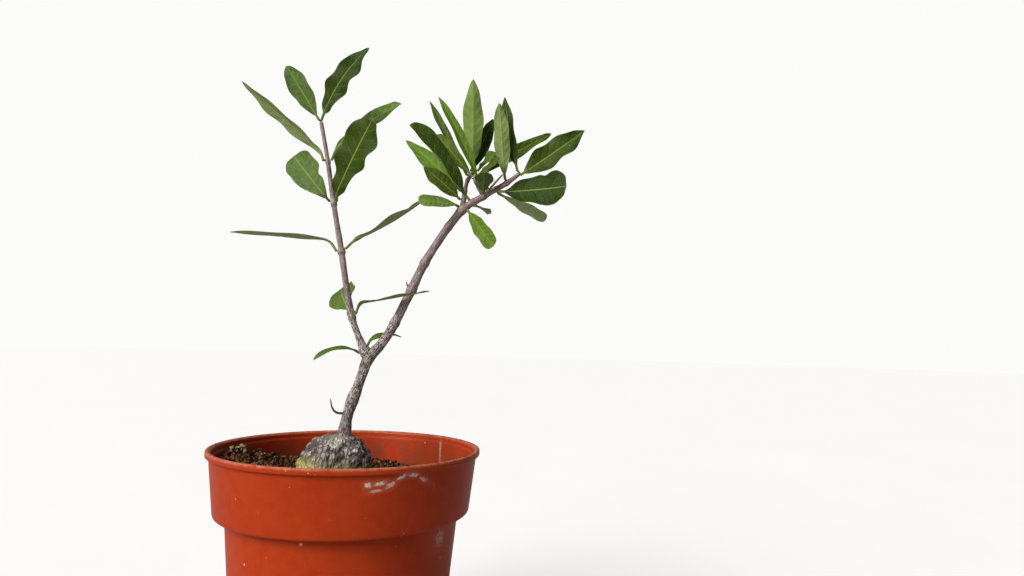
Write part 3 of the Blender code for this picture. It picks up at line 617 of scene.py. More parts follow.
# A small ball: four rings of seven points between two poles, joined by triangles.
def crumbShape():
    rings, columns = 4, 7
    height = np.cos(math.pi * np.arange(1, rings + 1) / (rings + 1))[:, None]
    turn = math.tau * np.arange(columns) / columns
    grid = polar(np.sqrt(1 - height ** 2), turn, height)
    places = np.concatenate([grid.reshape(-1, 3), [[0, 0, 1], [0, 0, -1]]])
    index = np.arange(rings * columns).reshape(rings, columns)
    turned = np.roll(index, -1, axis=1)
    top, bottom = np.full(columns, rings * columns), np.full(columns, rings * columns + 1)
    corners = [(index[:-1], index[1:], turned[1:]), (index[:-1], turned[1:], turned[:-1]),
               (top, index[0], turned[0]), (bottom, turned[-1], index[-1])]
    return places, np.concatenate([np.stack(c, axis=-1).reshape(-1, 3) for c in corners])


# Copies of one shape: each is pressed out of round by waves, stretched, turned at random and
# set down at its place. Turns are random rotation matrices from seeded vectors.
def scatter(places, sizes, stretch, seed):
    shape, faces = crumbShape()
    random = np.random.default_rng(seed)
    count = len(places)
    first = unit(random.normal(size=(count, 3)))
    second = unit(np.cross(first, random.normal(size=(count, 3))))
    turns = np.stack([first, second, np.cross(first, second)], axis=-1)
    bodies = np.repeat(shape[None], count, axis=0)
    offsets = random.uniform(0, 40, (count, 1, 3))
    bodies = bodies * (1 + 0.30 * ripple(bodies + offsets, 1.7, seed + 1))[..., None]
    bodies = bodies * sizes[:, None, None] * stretch
    bodies = np.einsum("nij,nvj->nvi", turns, bodies) + places[:, None]
    index = faces[None] + (np.arange(count) * len(shape))[:, None, None]
    tones = np.repeat(random.uniform(0, 1, count), len(shape))
    return bodies.reshape(-1, 3), index.reshape(-1, 3), tones


def wireSoil(tree):
    place = objectPlace(tree)
    colour = mottled(tree, place, 300.0, soil["dark"], soil["brown"])
    tone = attribute(tree, "tone").outputs["Fac"]
    colour = blend(tree, ease(tree, tone, 0.72, 1.0), colour, soil["tan"])
    lumps = cells(tree, place, 800.0)
    colour = blend(tree, ease(tree, lumps, 0.30, 0.65), colour, soil["dark"], "MULTIPLY")
    fleck = speckled(tree, place, 900.0, 0.36)
    colour = tint(tree, colour, fleck, 0.7, soil["tan"])
    height = useGroup(tree, grain, Place=place, Scale=1400.0)["Height"]
    return height, 0.0006, {"Base Color": colour, "Roughness": 0.95, "Specular IOR Level": 0.12}


def scatteredPiece(name, parts, material, nodes=()):
    places = np.concatenate([p[0] for p in parts])
    starts = np.cumsum([0] + [len(p[0]) for p in parts[:-1]])
    faces = np.concatenate([p[1] + start for p, start in zip(parts, starts)])
    mesh = bpy.data.meshes.new(name)
    mesh.from_pydata(places, [], faces.tolist())
    setAttributes(mesh, {"tone": np.concatenate([p[2] for p in parts])})
    return addPiece(name, mesh, material, nodes)


def makeSoil():
    earth = makeMaterial("pottingSoil", wireSoil)
    addPiece("soilBody", roundMesh("soilBody", soilPoints()), earth, ["soil"])
    random = np.random.default_rng(31)
    count = soil["crumbs"]
    radius = np.sqrt(random.uniform(0.05, 1, count)) * (innerRadius(soilLevel) - 1.8 * mm)
    turn = random.uniform(0, math.tau, count)
    sizes = random.gamma(2.2, 0.23, count).clip(0.25, 1.4) * mm
    z = soilHeight(radius, turn) + sizes * 0.35
    lumps = scatter(polar(radius, turn, z), sizes, np.array([1.2, 1.0, 0.8]), 33)
    count = soil["fibres"]
    radius = np.sqrt(random.uniform(0.12, 0.9, count)) * (innerRadius(soilLevel) - 3 * mm)
    turn = random.uniform(0, math.tau, count)
    z = soilHeight(radius, turn) + 0.5 * mm
    sizes = random.uniform(0.5, 1.1, count) * mm
    chips = scatter(polar(radius, turn, z), sizes, np.array([2.6, 0.8, 0.3]), 37)
    chips = (chips[0], chips[1], 0.75 + 0.25 * chips[2])
    scatteredPiece("soilCrumbs", [lumps, chips], earth)
    for node, tone, seed in (("soil_crumb_bark", 0.95, 41), ("soil_crumb_grit", 0.99, 43)):
        low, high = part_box(node)
        middle = np.array([(low + high) / 2])
        made = scatter(middle, np.array([(high.x - low.x) / 2]), np.array([1.1, 0.9, 0.7]), seed)
        name = "lump" + node.removeprefix("soil_crumb_").capitalize()
        scatteredPiece(name, [(made[0], made[1], made[2] * 0 + tone)], earth, [node])
    low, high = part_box("soil_crumb_mossy")
    random = np.random.default_rng(47)
    middle = np.array((low + high) / 2) + np.array([-1.5, 0, -1.0]) * mm
    tufts = middle + random.normal(size=(34, 3)) * np.array([1.5, 1.3, 0.6]) * mm
    scatteredPiece("lumpMossy", [scatter(tufts, random.uniform(0.45, 1.0, 34) * mm,
                                         np.array([1.0, 1.0, 0.8]), 53)],
                   makeMaterial("mossLump", wireMoss), ["soil_crumb_mossy"])
    print("soil: body,", soil["crumbs"], "crumbs and", soil["fibres"], "chips")


def wireMoss(tree):
    place = objectPlace(tree)
    colour = mottled(tree, place, 700.0, rgb(0.15, 0.10, 0.05), rgb(0.34, 0.29, 0.15))
    height = useGroup(tree, grain, Place=place, Scale=2200.0)["Height"]
    return height, 0.0004, {"Base Color": colour, "Roughness": 0.95}


makeSoil()


# Routes in mm from the crown, as in the CAD.
routes = {
    "trunk": [(-0.6, 0, -3), (1.3, 0, 10.5), (4.8, 0.5, 22), (8.2, 1, 32.5)],
    "left": [(8.2, 1, 32.5), (4.6, 1.3, 39.5), (-0.2, 2, 52), (-5.4, 3, 77), (-9.8, 4, 97),
             (-13.5, 5, 115.5), (-17.3, 6, 132)],
    "right": [(8.2, 1, 32.5), (14, 0.5, 39.5), (18.6, 0, 47.3), (25, -1, 61), (30.5, -1.5, 73),
              (38, -2.5, 85), (44.5, -3.5, 93.8)],
    "outer": [(44.5, -3.5, 93.8), (48.5, -4, 96.5), (53.5, -5, 99.3), (58.5, -5.5, 102.3),
              (63, -6, 105), (67.8, -6, 109)],
    "upright": [(44.5, -3.5, 93.8), (44.8, -1, 98.5), (46, 1.5, 107), (49.2, 3, 112)],
    "middle": [(53.5, -5, 99.3), (51.6, -6, 102), (49.8, -7, 105), (49.2, -7.5, 107)],
    "twig": [(53.5, -5, 99.3), (56.6, -8, 102.8), (60.8, -9.5, 107.3)],
    "spur": [(25.3, -1, 61.7), (23.6, -2, 62), (22.8, -2.4, 63.8)],
    "sprout": [(1.3, 0, 10.5), (-2.6, -2, 10.8), (-4.4, -3, 12.8), (-5.2, -3.4, 16.4)],
}
stemThickness = {  # radius in mm at the start and end
    "trunk": (2.4, 1.95), "left": (1.5, 0.8), "right": (1.95, 1.6), "outer": (1.5, 0.8),
    "upright": (1.1, 0.75), "middle": (1.1, 0.75), "twig": (0.5, 0.36), "spur": (0.5, 0.24),
    "sprout": (0.58, 0.24),
}
stem = {
    "columns": 44, "spacing": 0.35 * mm, "ridges": 0.10 * mm, "nodeSwell": 0.38 * mm,
    "bark": rgb(0.74, 0.69, 0.66), "barkBrown": rgb(0.34, 0.275, 0.25), "crack": rgb(0.11, 0.075, 0.065),
    "young": rgb(0.34, 0.26, 0.255), "youngDark": rgb(0.14, 0.072, 0.068),
}


# Swellings of the main line: mm beyond the crown, the fork or the start of the shoots, the share
# of a full swelling, and the width in mm.
knuckles = [
    ("crown", 20, 0.9, 3.2), ("fork", 0, 1, 3.0), ("fork", 18, 0.7, 1.2), ("fork", 33, 0.9, 1.3),
    ("fork", 45, 0.8, 1.1), ("shoots", -9, 0.4, 1.0), ("shoots", 0, 1.3, 2.0), ("shoots", 5.5, 0.7, 1.0),
    ("shoots", 10, 0.9, 1.2), ("shoots", 16, 0.6, 0.9), ("shoots", 21, 0.6, 0.9),
]


# A smooth line through points, each stretch a Catmull-Rom cubic, stepped evenly.
def smoothLine(points, spacing):
    knots = crown + np.array(points, float) * mm
    ends = np.concatenate([[2 * knots[0] - knots[1]], knots, [2 * knots[-1] - knots[-2]]])
    line = []
    for a, b, c, d in zip(ends, ends[1:], ends[2:], ends[3:]):
        t = np.linspace(0, 1, max(2, int(np.linalg.norm(c - b) / spacing)), endpoint=False)[:, None]
        line.append(0.5 * (2 * b + (c - a) * t + (2 * a - 5 * b + 4 * c - d) * t ** 2
                           + (3 * b - a - 3 * c + d) * t ** 3))
    return np.concatenate(line + [knots[-1:]])


def lengthAlong(line):
    return np.concatenate([[0], np.cumsum(np.linalg.norm(np.diff(line, axis=0), axis=1))])


lines = {key: smoothLine(points, stem["spacing"]) for key, points in routes.items()}


# Each point becomes the mean of itself and its neighbours, with both ends held.
def softened(line, reach):
    kernel = np.hanning(2 * reach + 3)[1:-1]
    kernel /= kernel.sum()
    padded = np.concatenate([np.repeat(line[:1], reach, 0), line, np.repeat(line[-1:], reach, 0)])
    out = np.stack([np.convolve(padded[:, k], kernel, "valid") for k in range(3)], axis=-1)
    out[0], out[-1] = line[0], line[-1]
    return out


# A round tube along a line. Rings face along it, with the depth axis as their reference, and
# the surface is raised by upright ridges, by swellings at the nodes and by slow waves.
def tubeMesh(name, line, radius, age, nodes=(), ridges=0.0):
    length = lengthAlong(line)
    along = unit(np.gradient(line, axis=0))
    side = unit(np.cross(along, [0, 1, 0]))
    front = np.cross(side, along)
    for at, swell, width in nodes:
        radius = radius + swell * np.exp(-((length - at) / width) ** 2)
    turn = fullTurn(stem["columns"])
    around = side[:, None] * np.cos(turn)[:, None] + front[:, None] * np.sin(turn)[:, None]
    straight = polar(radius[:, None], turn, length[:, None])
    squeezed = straight * [1, 1, 0.25]
    relief = ripple(squeezed, 0.9 * mm, 61) * 0.6 + ripple(squeezed, 1.9 * mm, 62)
    slow = ripple(straight, 9 * mm, 63) * 0.05
    push = radius[:, None] * slow + ridges * age[:, None] * relief
    points = line[:, None] + around * (radius[:, None] + push)[..., None]
    # The last few rings close in to a rounded end.
    close = np.sqrt(np.clip((length[-1] - length) / (radius[-1] * 1.2), 0.0, 1) * 0.98 + 0.02)
    points = line[:, None] + (points - line[:, None]) * close[:, None, None]
    attributes = {"barkPlace": straight, "age": age[:, None] + 0 * turn}
    return roundMesh(name, points, attributes)


def radiusAlong(key):
    length = lengthAlong(lines[key])
    start, end = stemThickness[key]
    return (start + (end - start) * length / length[-1]) * mm


def makeStems():
    bark = makeMaterial("stemBark", wireBark)
    keys = ["trunk", "right", "outer"]
    main = np.concatenate([lines["trunk"][:-1], lines["right"][:-1], lines["outer"]])
    radius = np.concatenate([radiusAlong("trunk")[:-1], radiusAlong("right")[:-1], radiusAlong("outer")])
    main = softened(main, 7)
    length = lengthAlong(main)
    ends = np.cumsum([lengthAlong(lines[key])[-1] for key in keys])
    radius = radius + 1.5 * mm * np.exp(-(length / (4.2 * mm)) ** 1.5)  # the flare at the crown
    radius = np.convolve(np.pad(radius, 5, mode="edge"), np.ones(11) / 11, "valid")
    age = np.interp(length, [0, ends[0], ends[0] + 30 * mm, ends[1], ends[2]], [1, 0.85, 0.4, 0.2, 0.1])
    swell = stem["nodeSwell"]
    starts = {"crown": 0, "fork": ends[0], "shoots": ends[1]}
    nodes = [(starts[start] + beyond * mm, swell * share, width * mm)
             for start, beyond, share, width in knuckles]
    addPiece("trunkAndRightStem", tubeMesh("trunkAndRightStem", main, radius, age, nodes, stem["ridges"]),
             bark, ["trunk", "right_stem", "outer_shoot"])
    # The left stem starts inside the trunk's fork and flares where it leaves it.
    line, radius = lines["left"], radiusAlong("left")
    length = lengthAlong(line)
    radius = radius + 0.7 * mm * np.exp(-(length / (4.5 * mm)) ** 2)
    age = np.interp(length / length[-1], [0, 0.25, 1], [0.8, 0.4, 0.1])
    pairs = sorted({leaf["at"] for leaf in leaves.values() if leaf["stem"] == "left" and leaf["at"] < 0.98})
    nodes = [(at * length[-1] - 1.0 * mm, swell * (0.95 - 0.5 * at), 0.9 * mm) for at in pairs]
    addPiece("leftStem", tubeMesh("leftStem", line, radius, age, nodes, stem["ridges"]), bark,
             ["left_stem"])
    for key, name, node in (("upright", "uprightShoot", "upright_shoot"),
                            ("middle", "middleShoot", "middle_shoot")):
        line, radius = lines[key], radiusAlong(key)
        length = lengthAlong(line)
        radius = radius + 0.4 * mm * np.exp(-(length / (2.5 * mm)) ** 2)
        nodes = [(share * length[-1], swell * 0.5, 0.8 * mm) for share in (0.45, 0.7)]
        age = np.interp(length / length[-1], [0, 1], [0.3, 0.05])
        addPiece(name, tubeMesh(name, line, radius, age, nodes, stem["ridges"]), bark, [node])
    dry = makeMaterial("dryBark", wireDryBark)
    green = makeMaterial("greenShoot", wireGreenShoot)
    for key, name, node, finish, slot in (
            ("twig", "dryTwig", "dry_twig", dry, "dry_bark"),
            ("spur", "drySpur", "dry_spur", dry, "dry_bark"),
            ("sprout", "curledSprout", "trunk_sprout", green, "green_shoot")):
        line = lines[key]
        addPiece(name, tubeMesh(name, line, radiusAlong(key), np.full(len(line), 0.3), (), 0.04 * mm),
                 finish, [node])
    print("stems: trunk with right stem, left stem, two shoots, twig, spur and sprout")


# Fissured grey bark where the stem is old, smoother purple-brown bark with pale lenticels where
# it is young.
def wireBark(tree):
    straight = attribute(tree, "barkPlace").outputs["Vector"]
    age = attribute(tree, "age").outputs["Fac"]
    place = objectPlace(tree)
    split = useGroup(tree, fissures, Place=straight, Scale=1450.0)
    old = mottled(tree, straight, 420.0, stem["bark"], stem["barkBrown"])
    old = blend(tree, ease(tree, split["Crack"], 0.20, 0.85), old, stem["crack"])
    young = mottled(tree, scaled(tree, straight, (1.0, 1.0, 0.3)), 650.0, stem["young"],
                    stem["youngDark"])
    share = ease(tree, timesPlus(tree, noise(tree, place, 240.0), 0.25, age), 0.35, 0.85)
    colour = blend(tree, share, young, old)
    dots = speckled(tree, scaled(tree, straight, (1.0, 1.0, 0.55)), 1050.0, 0.52)
    colour = tint(tree, colour, dots, 0.55, rgb(0.52, 0.46, 0.42))
    dusty = ease(tree, noise(tree, straight, 380.0, 7.0, 0.7), 0.52, 0.72)
    colour = tint(tree, colour, dusty, 0.45, rgb(0.46, 0.42, 0.40))
    deep = times(tree, split["Height"], ease(tree, age, 0.0, 0.9))
    height = timesPlus(tree, noise(tree, straight, 2600.0, 6.0, 0.6), 0.35, deep)
    rough = timesPlus(tree, share, 0.30, 0.46)
    return height, 0.00028, {"Base Color": colour, "Roughness": rough}


def wireDryBark(tree):
    straight = attribute(tree, "barkPlace").outputs["Vector"]
    split = useGroup(tree, fissures, Place=straight, Scale=2200.0)
    colour = mottled(tree, straight, 900.0, rgb(0.46, 0.36, 0.19), rgb(0.27, 0.19, 0.10))
    colour = tint(tree, colour, split["Crack"], 0.6, rgb(0.10, 0.06, 0.03))
    return split["Height"], 0.00012, {"Base Color": colour, "Roughness": 0.8}


def wireGreenShoot(tree):
    straight = attribute(tree, "barkPlace").outputs["Vector"]
    colour = mottled(tree, straight, 900.0, rgb(0.05, 0.075, 0.035), rgb(0.11, 0.12, 0.06))
    return noise(tree, straight, 2500.0, 4.0), 0.00008, {"Base Color": colour, "Roughness": 0.5}


# A leaf grows at a share of its stem's length, points along its heading, turned from +X towards
# +Y, and rises above the level. Reach, width, ruffle, scallop and sweep are in mm and turns in
# degrees. Roll turns it about its midrib and twist goes on turning it, bend lets the tip droop,
# kink steepens the stalk, fold lifts the halves, sweep bows the midrib sideways and tip below 1
# blunts the end. A notch eats a share of one half, the left one of a leaf seen from above with
# its tip away if it is below 0. A leaf at the very end of its stem may sit some mm ahead of that
# end and closer to its middle line. Tone runs from dark to bright and warm from blue-green to olive.
# The dust setting of a leaf lays a pale film that is partly dust and partly a painted sheen.
leafDefaults = dict(roll=0, twist=0, bend=12, kink=0, fold=10, ruffle=0.5, waves=2.0, widest=0.5,
                    scallop=0.3, sweep=0, tip=1.0, tone=0.5, warm=0.5, dusty=0.3, pale=0.8,
                    notchAt=0.5, notch=0, ahead=0, close=1)


def row(stem, at, heading, rise, reach, width, **more):
    return {**leafDefaults, "stem": stem, "at": at, "heading": heading, "rise": rise,
            "reach": reach, "width": width, **more}


leaves = {
    "leaf_left_1a": row("left", 1.0, 169, 56, 29, 9, roll=-84, bend=-8, fold=8, widest=0.58,
        tone=0.55, warm=0.3, dusty=0.5, ahead=1.2, close=0.6, scallop=0.45),
    "leaf_left_1b": row("left", 1.0, 335, 50, 35.3, 10.5, roll=98, bend=10, fold=8, ruffle=0.9,
        waves=3, scallop=0.7, sweep=-2.0, widest=0.46, tone=0.12, warm=0.8, dusty=0.15, ahead=1.2,
        close=0.55),
    "leaf_left_2a": row("left", 0.83, 191, 42, 46, 6.4, roll=48, bend=6, kink=42, fold=-34,
        waves=3, tone=0.45, warm=0.75, pale=0.55, dusty=0.6),
    "leaf_left_2b": row("left", 0.83, 39, 46.5, 45, 8.5, roll=36, bend=10, kink=40, ruffle=0.6,
        tip=0.8, tone=0.7, warm=0.3, dusty=1.5, pale=0.6, fold=12, widest=0.66),
    "leaf_left_3a": row("left", 0.66, 159, 46.5, 28.5, 13, roll=-74, bend=6, kink=62, fold=6,
        widest=0.58, tip=0.55, notchAt=0.45, notch=0.25, tone=0.55, warm=0.35, dusty=0.7),
    "leaf_left_3b": row("left", 0.65, 321, 56, 37.5, 16.5, roll=102, bend=8, kink=26, fold=8,
        ruffle=1.1, waves=3, scallop=0.8, widest=0.56, tip=0.7, notchAt=0.42, notch=0.22,
        tone=0.15, warm=0.9, dusty=0.0),
    "leaf_left_4a": row("left", 0.45, 187, 8, 43, 7, roll=8, bend=0, kink=56, fold=8, ruffle=0.2,
        scallop=0.1, tone=0.6, warm=0.4, dusty=1.0, pale=1.0),
    "leaf_left_4b": row("left", 0.455, 5, 35, 39, 7, roll=-12, twist=30, bend=-20, kink=26,
        fold=20, ruffle=0.8, tone=0.65, pale=0.9, widest=0.66, tip=1.2, dusty=0.8),
    "leaf_left_5a": row("left", 0.205, 116, 28, 22, 13.5, roll=-48, bend=10, kink=40, fold=6,
        tip=0.55, tone=0.6, warm=0.3, dusty=0.8),
    "leaf_left_5b": row("left", 0.185, 337, 15, 35, 6.5, roll=6, bend=-2, kink=62, fold=8,
        tone=0.45, warm=0.4),
    "leaf_left_6a": row("left", 0.035, 203, -10, 18, 6, roll=-14, bend=72, kink=12, fold=6,
        tip=0.7, warm=0.4, ruffle=0.15, scallop=0.05),
    "leaf_left_6b": row("left", 0.05, 36, 14, 15.5, 6, roll=14, bend=60, kink=36, fold=6, warm=0.4,
        ruffle=0.15, scallop=0.05),
    "leaf_tuft_upright": row("upright", 0.98, 139, 88, 38.5, 9, roll=131, bend=6, fold=16,
        scallop=0.35, tone=0.75, warm=0.6, pale=0.25),
    "leaf_tuft_big_left": row("outer", 0.16, 210, 44, 37, 12, roll=-58, bend=14, kink=-10, fold=30,
        tip=0.55, tone=0.35, warm=0.45),
    "leaf_tuft_far_left": row("upright", 0.45, 157, 41, 36.5, 7.5, roll=-60, bend=18, fold=8,
        tip=1.3, tone=0.75, warm=0.45),
    "leaf_tuft_olive": row("upright", 0.24, 186, 40, 19.5, 7, roll=-78, bend=8, kink=20, fold=8,
        tone=0.3, warm=0.95),
    "leaf_tuft_level": row("upright", 0.03, 215, -1, 18, 6, roll=-60, bend=16, kink=20, fold=8,
        ruffle=0.1, scallop=0, widest=0.55, tip=0.5, tone=0.85, warm=0.4, pale=1.0, dusty=1.8),
    "leaf_tuft_thin": row("middle", 0.60, 203, 60.5, 37.5, 5, roll=-82, bend=16, fold=24,
        ruffle=0.3, tone=0.9, warm=0.8, dusty=0.7),
    "leaf_tuft_thin_far": row("upright", 0.80, 160, 61, 38, 4.5, roll=-40, bend=-8, fold=20,
        ruffle=0.3, tone=0.55, dusty=0.9),
    "leaf_tuft_arched": row("middle", 0.98, 147, 46, 28, 5.5, roll=-70, bend=62, fold=14,
        tone=0.35, warm=0.95),
    "leaf_tuft_far_dark": row("upright", 0.93, 55, 61.5, 30, 7, roll=56, bend=-8, fold=20,
        ruffle=0.9, waves=2.5, tone=0.12),
    "leaf_tuft_pale": row("outer", 0.76, 243, 77, 30, 6.5, roll=20, bend=-10, kink=-14, ruffle=0.6,
        tip=0.95, tone=0.7, warm=0.4, dusty=0.5, pale=0.4),
    "leaf_tuft_dark_right": row("outer", 0.985, 176, 79, 31, 6, roll=-110, bend=14, fold=24,
        ruffle=0.7, tone=0.15, warm=0.7),
    "leaf_tuft_far_right": row("upright", 0.80, 22, 34.5, 43, 6, roll=70, bend=22, fold=16,
        ruffle=0.9),
    "leaf_tuft_right": row("outer", 0.97, 351, 35, 31, 10.5, roll=84, bend=-12, fold=14,
        ruffle=1.1, scallop=0.8, tip=1.15, tone=0.18, warm=0.85, dusty=0.15),
    "leaf_tuft_broad": row("outer", 0.60, 339, 1, 28, 14, roll=78, bend=-14, kink=-10, fold=6,
        ruffle=1.1, widest=0.6, tip=0.55, notchAt=0.68, notch=-0.22, tone=0.05, warm=1.0,
        dusty=0.0),
    "leaf_tuft_pale_under": row("outer", 0.57, 20, -22, 23, 4.6, roll=-70, bend=16, fold=-6,
        ruffle=0.2, widest=0.6, tip=0.5, tone=0.6, warm=0.45, pale=1.0, dusty=0.6),
    "leaf_tuft_hanging": row("outer", 0.06, 318, -46, 21.5, 6.5, roll=80, bend=10, fold=6,
        ruffle=0.2, widest=0.45, tip=0.35, tone=0.7, warm=0.6),
    "leaf_tuft_dark_stub": row("outer", 0.17, 62, -8, 11.5, 8, roll=20, bend=26, tone=0.1),
    "leaf_tuft_centre": row("outer", 0.38, 276, 34, 11, 7.5, widest=0.6, tone=0.2, warm=0.6,
        pale=0.2),
    "leaf_tuft_curled": row("upright", 0.98, 342, 28, 13.5, 9.5, roll=40, bend=40, fold=20,
        ruffle=0.9, tone=0.6),
    "leaf_tuft_brown": row("middle", 0.69, 326, 40, 12.5, 6, roll=60, fold=20, tone=0.3, warm=1.0),
    "leaf_tuft_green": row("outer", 0.45, 104, 62, 12.5, 6.5, roll=80, bend=10, fold=12, tone=0.4),
}
blade = {
    "kinkShare": 0.12, "stalkShare": 0.05, "stalkWidth": 1.1 * mm, "fullness": 1.5,
    "tipWidth": 0.4 * mm,
    "rows": 76, "columns": 44, "thickness": 0.34 * mm, "clearance": 0.3 * mm, "veins": 9,
    "notchSpread": 0.085,
    "dark": rgb(0.018, 0.042, 0.002), "bright": rgb(0.16, 0.31, 0.018),
    "cool": rgb(0.058, 0.135, 0.018), "olive": rgb(0.085, 0.125, 0.004),
    "under": rgb(0.40, 0.48, 0.22), "underDeep": rgb(0.29, 0.38, 0.14),
    "rib": rgb(0.25, 0.35, 0.06), "stalk": rgb(0.17, 0.24, 0.035), "margin": rgb(0.22, 0.28, 0.09),
    "dry": rgb(0.26, 0.20, 0.11),
}


# The base's place on its stem's surface, and the directions along, above and beside the leaf.
def leafFrame(leaf):
    heading, rise, roll = (math.radians(leaf[key]) for key in ("heading", "rise", "roll"))
    length = np.array([math.cos(rise) * math.cos(heading), math.cos(rise) * math.sin(heading),
                       math.sin(rise)])
    upper = unit(np.array([0, 0, 1]) - length * length[2])
    upper = upper * math.cos(roll) + np.cross(length, upper) * math.sin(roll)
    line = lines[leaf["stem"]]
    share = lengthAlong(line) / lengthAlong(line)[-1]
    place = np.array([np.interp(leaf["at"], share, line[:, k]) for k in range(3)])
    ahead = int(np.clip(np.searchsorted(share, leaf["at"]), 1, len(line) - 1))
    stemWay = unit(line[ahead] - line[ahead - 1])
    outward = unit(length - stemWay * length.dot(stemWay))
    start, end = stemThickness[leaf["stem"]]
    radius = (start + (end - start) * leaf["at"]) * mm
    return place, outward, radius, length, upper, stemWay * leaf["ahead"] * mm


# The half width: an even stalk, then a rise and fall between powers of the shares before and
# after the widest place, with the margin let in and out by waves.
def leafHalfWidth(leaf, u, side):
    s = np.clip((u - blade["stalkShare"]) / (1 - blade["stalkShare"]), 0, 1)
    widest, full = leaf["widest"], blade["fullness"]
    rise = (s / widest) ** (full * widest)
    fall = ((1 - s) / (1 - widest)) ** (full * (1 - widest) * leaf["tip"])
    half = leaf["width"] / 2 * mm * np.minimum(rise * fall, 1.0)
    edge = leaf["scallop"] * mm * np.sin(math.tau * (leaf["waves"] + 0.7) * u + 2.1 * side + leaf["heading"])
    half = half + edge * smoothStep(0.15, 0.4, s) * (1 - smoothStep(0.75, 1.0, s)) * 0.6
    bite = np.clip(leaf["notch"] * side, 0, 1) * np.exp(-((u - leaf["notchAt"]) / blade["notchSpread"]) ** 2)
    half = half * (1 - bite)
    stalk = blade["stalkWidth"] / 2 + (blade["tipWidth"] - blade["stalkWidth"]) / 2 * u
    return np.maximum(half, stalk * np.sqrt(np.clip(40 * (1 - u), 0.05, 1)))


# The midrib: its slope changes evenly by bend and is steeper by kink along the stalk. Summing
# the slope gives the curve, which is turned and scaled so that its ends are the reach apart.
def leafMidrib(leaf, u):
    fine = np.linspace(0, 1, 401)
    stalk = np.clip(1.5 - fine / blade["kinkShare"], 0, 1)
    slope = np.radians(leaf["bend"]) * (0.5 - fine) + np.radians(leaf["kink"]) * stalk
    ahead = np.concatenate([[0], np.cumsum(np.cos((slope[1:] + slope[:-1]) / 2))])
    above = np.concatenate([[0], np.cumsum(np.sin((slope[1:] + slope[:-1]) / 2))])
    tilt, span = math.atan2(above[-1], ahead[-1]), math.hypot(ahead[-1], above[-1])
    scale = leaf["reach"] * mm / span
    x = (ahead * math.cos(tilt) + above * math.sin(tilt)) * scale
    z = (above * math.cos(tilt) - ahead * math.sin(tilt)) * scale
    return (np.interp(u, fine, values) for values in (x, z, slope - tilt))


# The whole skin of a leaf: going round a flat section at each place along the midrib. Across it
# the halves are folded up and ruffled, the blade puffs up between its side veins, the section
# is thick at the stalk and thin at the margin, and the rib stands out below.
def leafPoints(leaf):
    place, outward, radius, length, upper, ahead = leafFrame(leaf)
    u = np.linspace(0, 1, blade["rows"]) ** 1.15
    u = np.concatenate([[0, 0], u])[:, None]
    turn = fullTurn(blade["columns"])[None, :]
    across, face = np.cos(turn), np.sin(turn)
    x, z, slope = leafMidrib(leaf, u)
    side = np.cross(length, upper)
    twist = np.radians(leaf["twist"]) * (u - 0.3)
    turnedUpper = np.cos(twist)[..., None] * upper + np.sin(twist)[..., None] * side
    turnedSide = np.cos(twist)[..., None] * side - np.sin(twist)[..., None] * upper
    normal = np.cos(slope)[..., None] * turnedUpper - np.sin(slope)[..., None] * length
    on = smoothStep(blade["stalkShare"], blade["stalkShare"] + 0.14, u)
    inTip = on * np.clip((1 - u) / 0.08, 0, 1)
    half = leafHalfWidth(leaf, u, np.sign(across))
    fold = np.radians(leaf["fold"]) * on
    wave = np.sin(math.tau * leaf["waves"] * u + 1.7 * np.sign(across) + leaf["heading"])
    lift = np.abs(across) * half * np.sin(fold) + leaf["ruffle"] * mm * across ** 2 * wave * inTip
    vein = np.cos(math.tau * (blade["veins"] * u - 1.1 * np.abs(across) + 0.25 * (across > 0)))
    lift = lift - 0.09 * mm * vein * inTip * 4 * np.abs(across) * (1 - np.abs(across))
    thick = blade["stalkWidth"] / 2 * (1 - on) + blade["thickness"] / 2 * on
    thick = thick * (1 - 0.45 * across ** 2 * on) * face
    rib = np.exp(-(across / 0.10) ** 2) * on * (1 - 0.8 * u)
    thick = thick - rib * 0.30 * mm * (face < 0) - rib * 0.10 * mm * (face > 0)
    sweep = leaf["sweep"] * mm * 4 * u * (1 - u)
    offset = (radius + blade["clearance"] + blade["stalkWidth"] / 2) * leaf["close"]
    base = place + outward * offset + ahead
    spine = base + x[..., None] * length + z[..., None] * upper + sweep[..., None] * turnedSide
    points = (spine + (across * half * np.cos(fold))[..., None] * turnedSide
              + (lift + thick)[..., None] * normal)
    # The first two rings lie inside the stem, so that the stalk grows out of it.
    inward = outward * (offset - radius * 0.3) + ahead
    points[0] -= inward
    points[1] -= inward * 0.35
    points[0] += (spine[0] - inward - points[0]) * 0.4
    leafPlace = np.stack([across + 0 * u, u + 0 * across, face + 0 * u], axis=-1)
    look = np.array([leaf["tone"], leaf["warm"], leaf["dusty"]]) + 0 * leafPlace
    size = np.stack([half * across, x + 0 * across, 0 * half], axis=-1) + leaf["heading"] * mm
    paleness = leaf["pale"] + 0 * half
    return points, {"leafPlace": leafPlace, "leafLook": look, "leafSize": size, "leafPale": paleness}
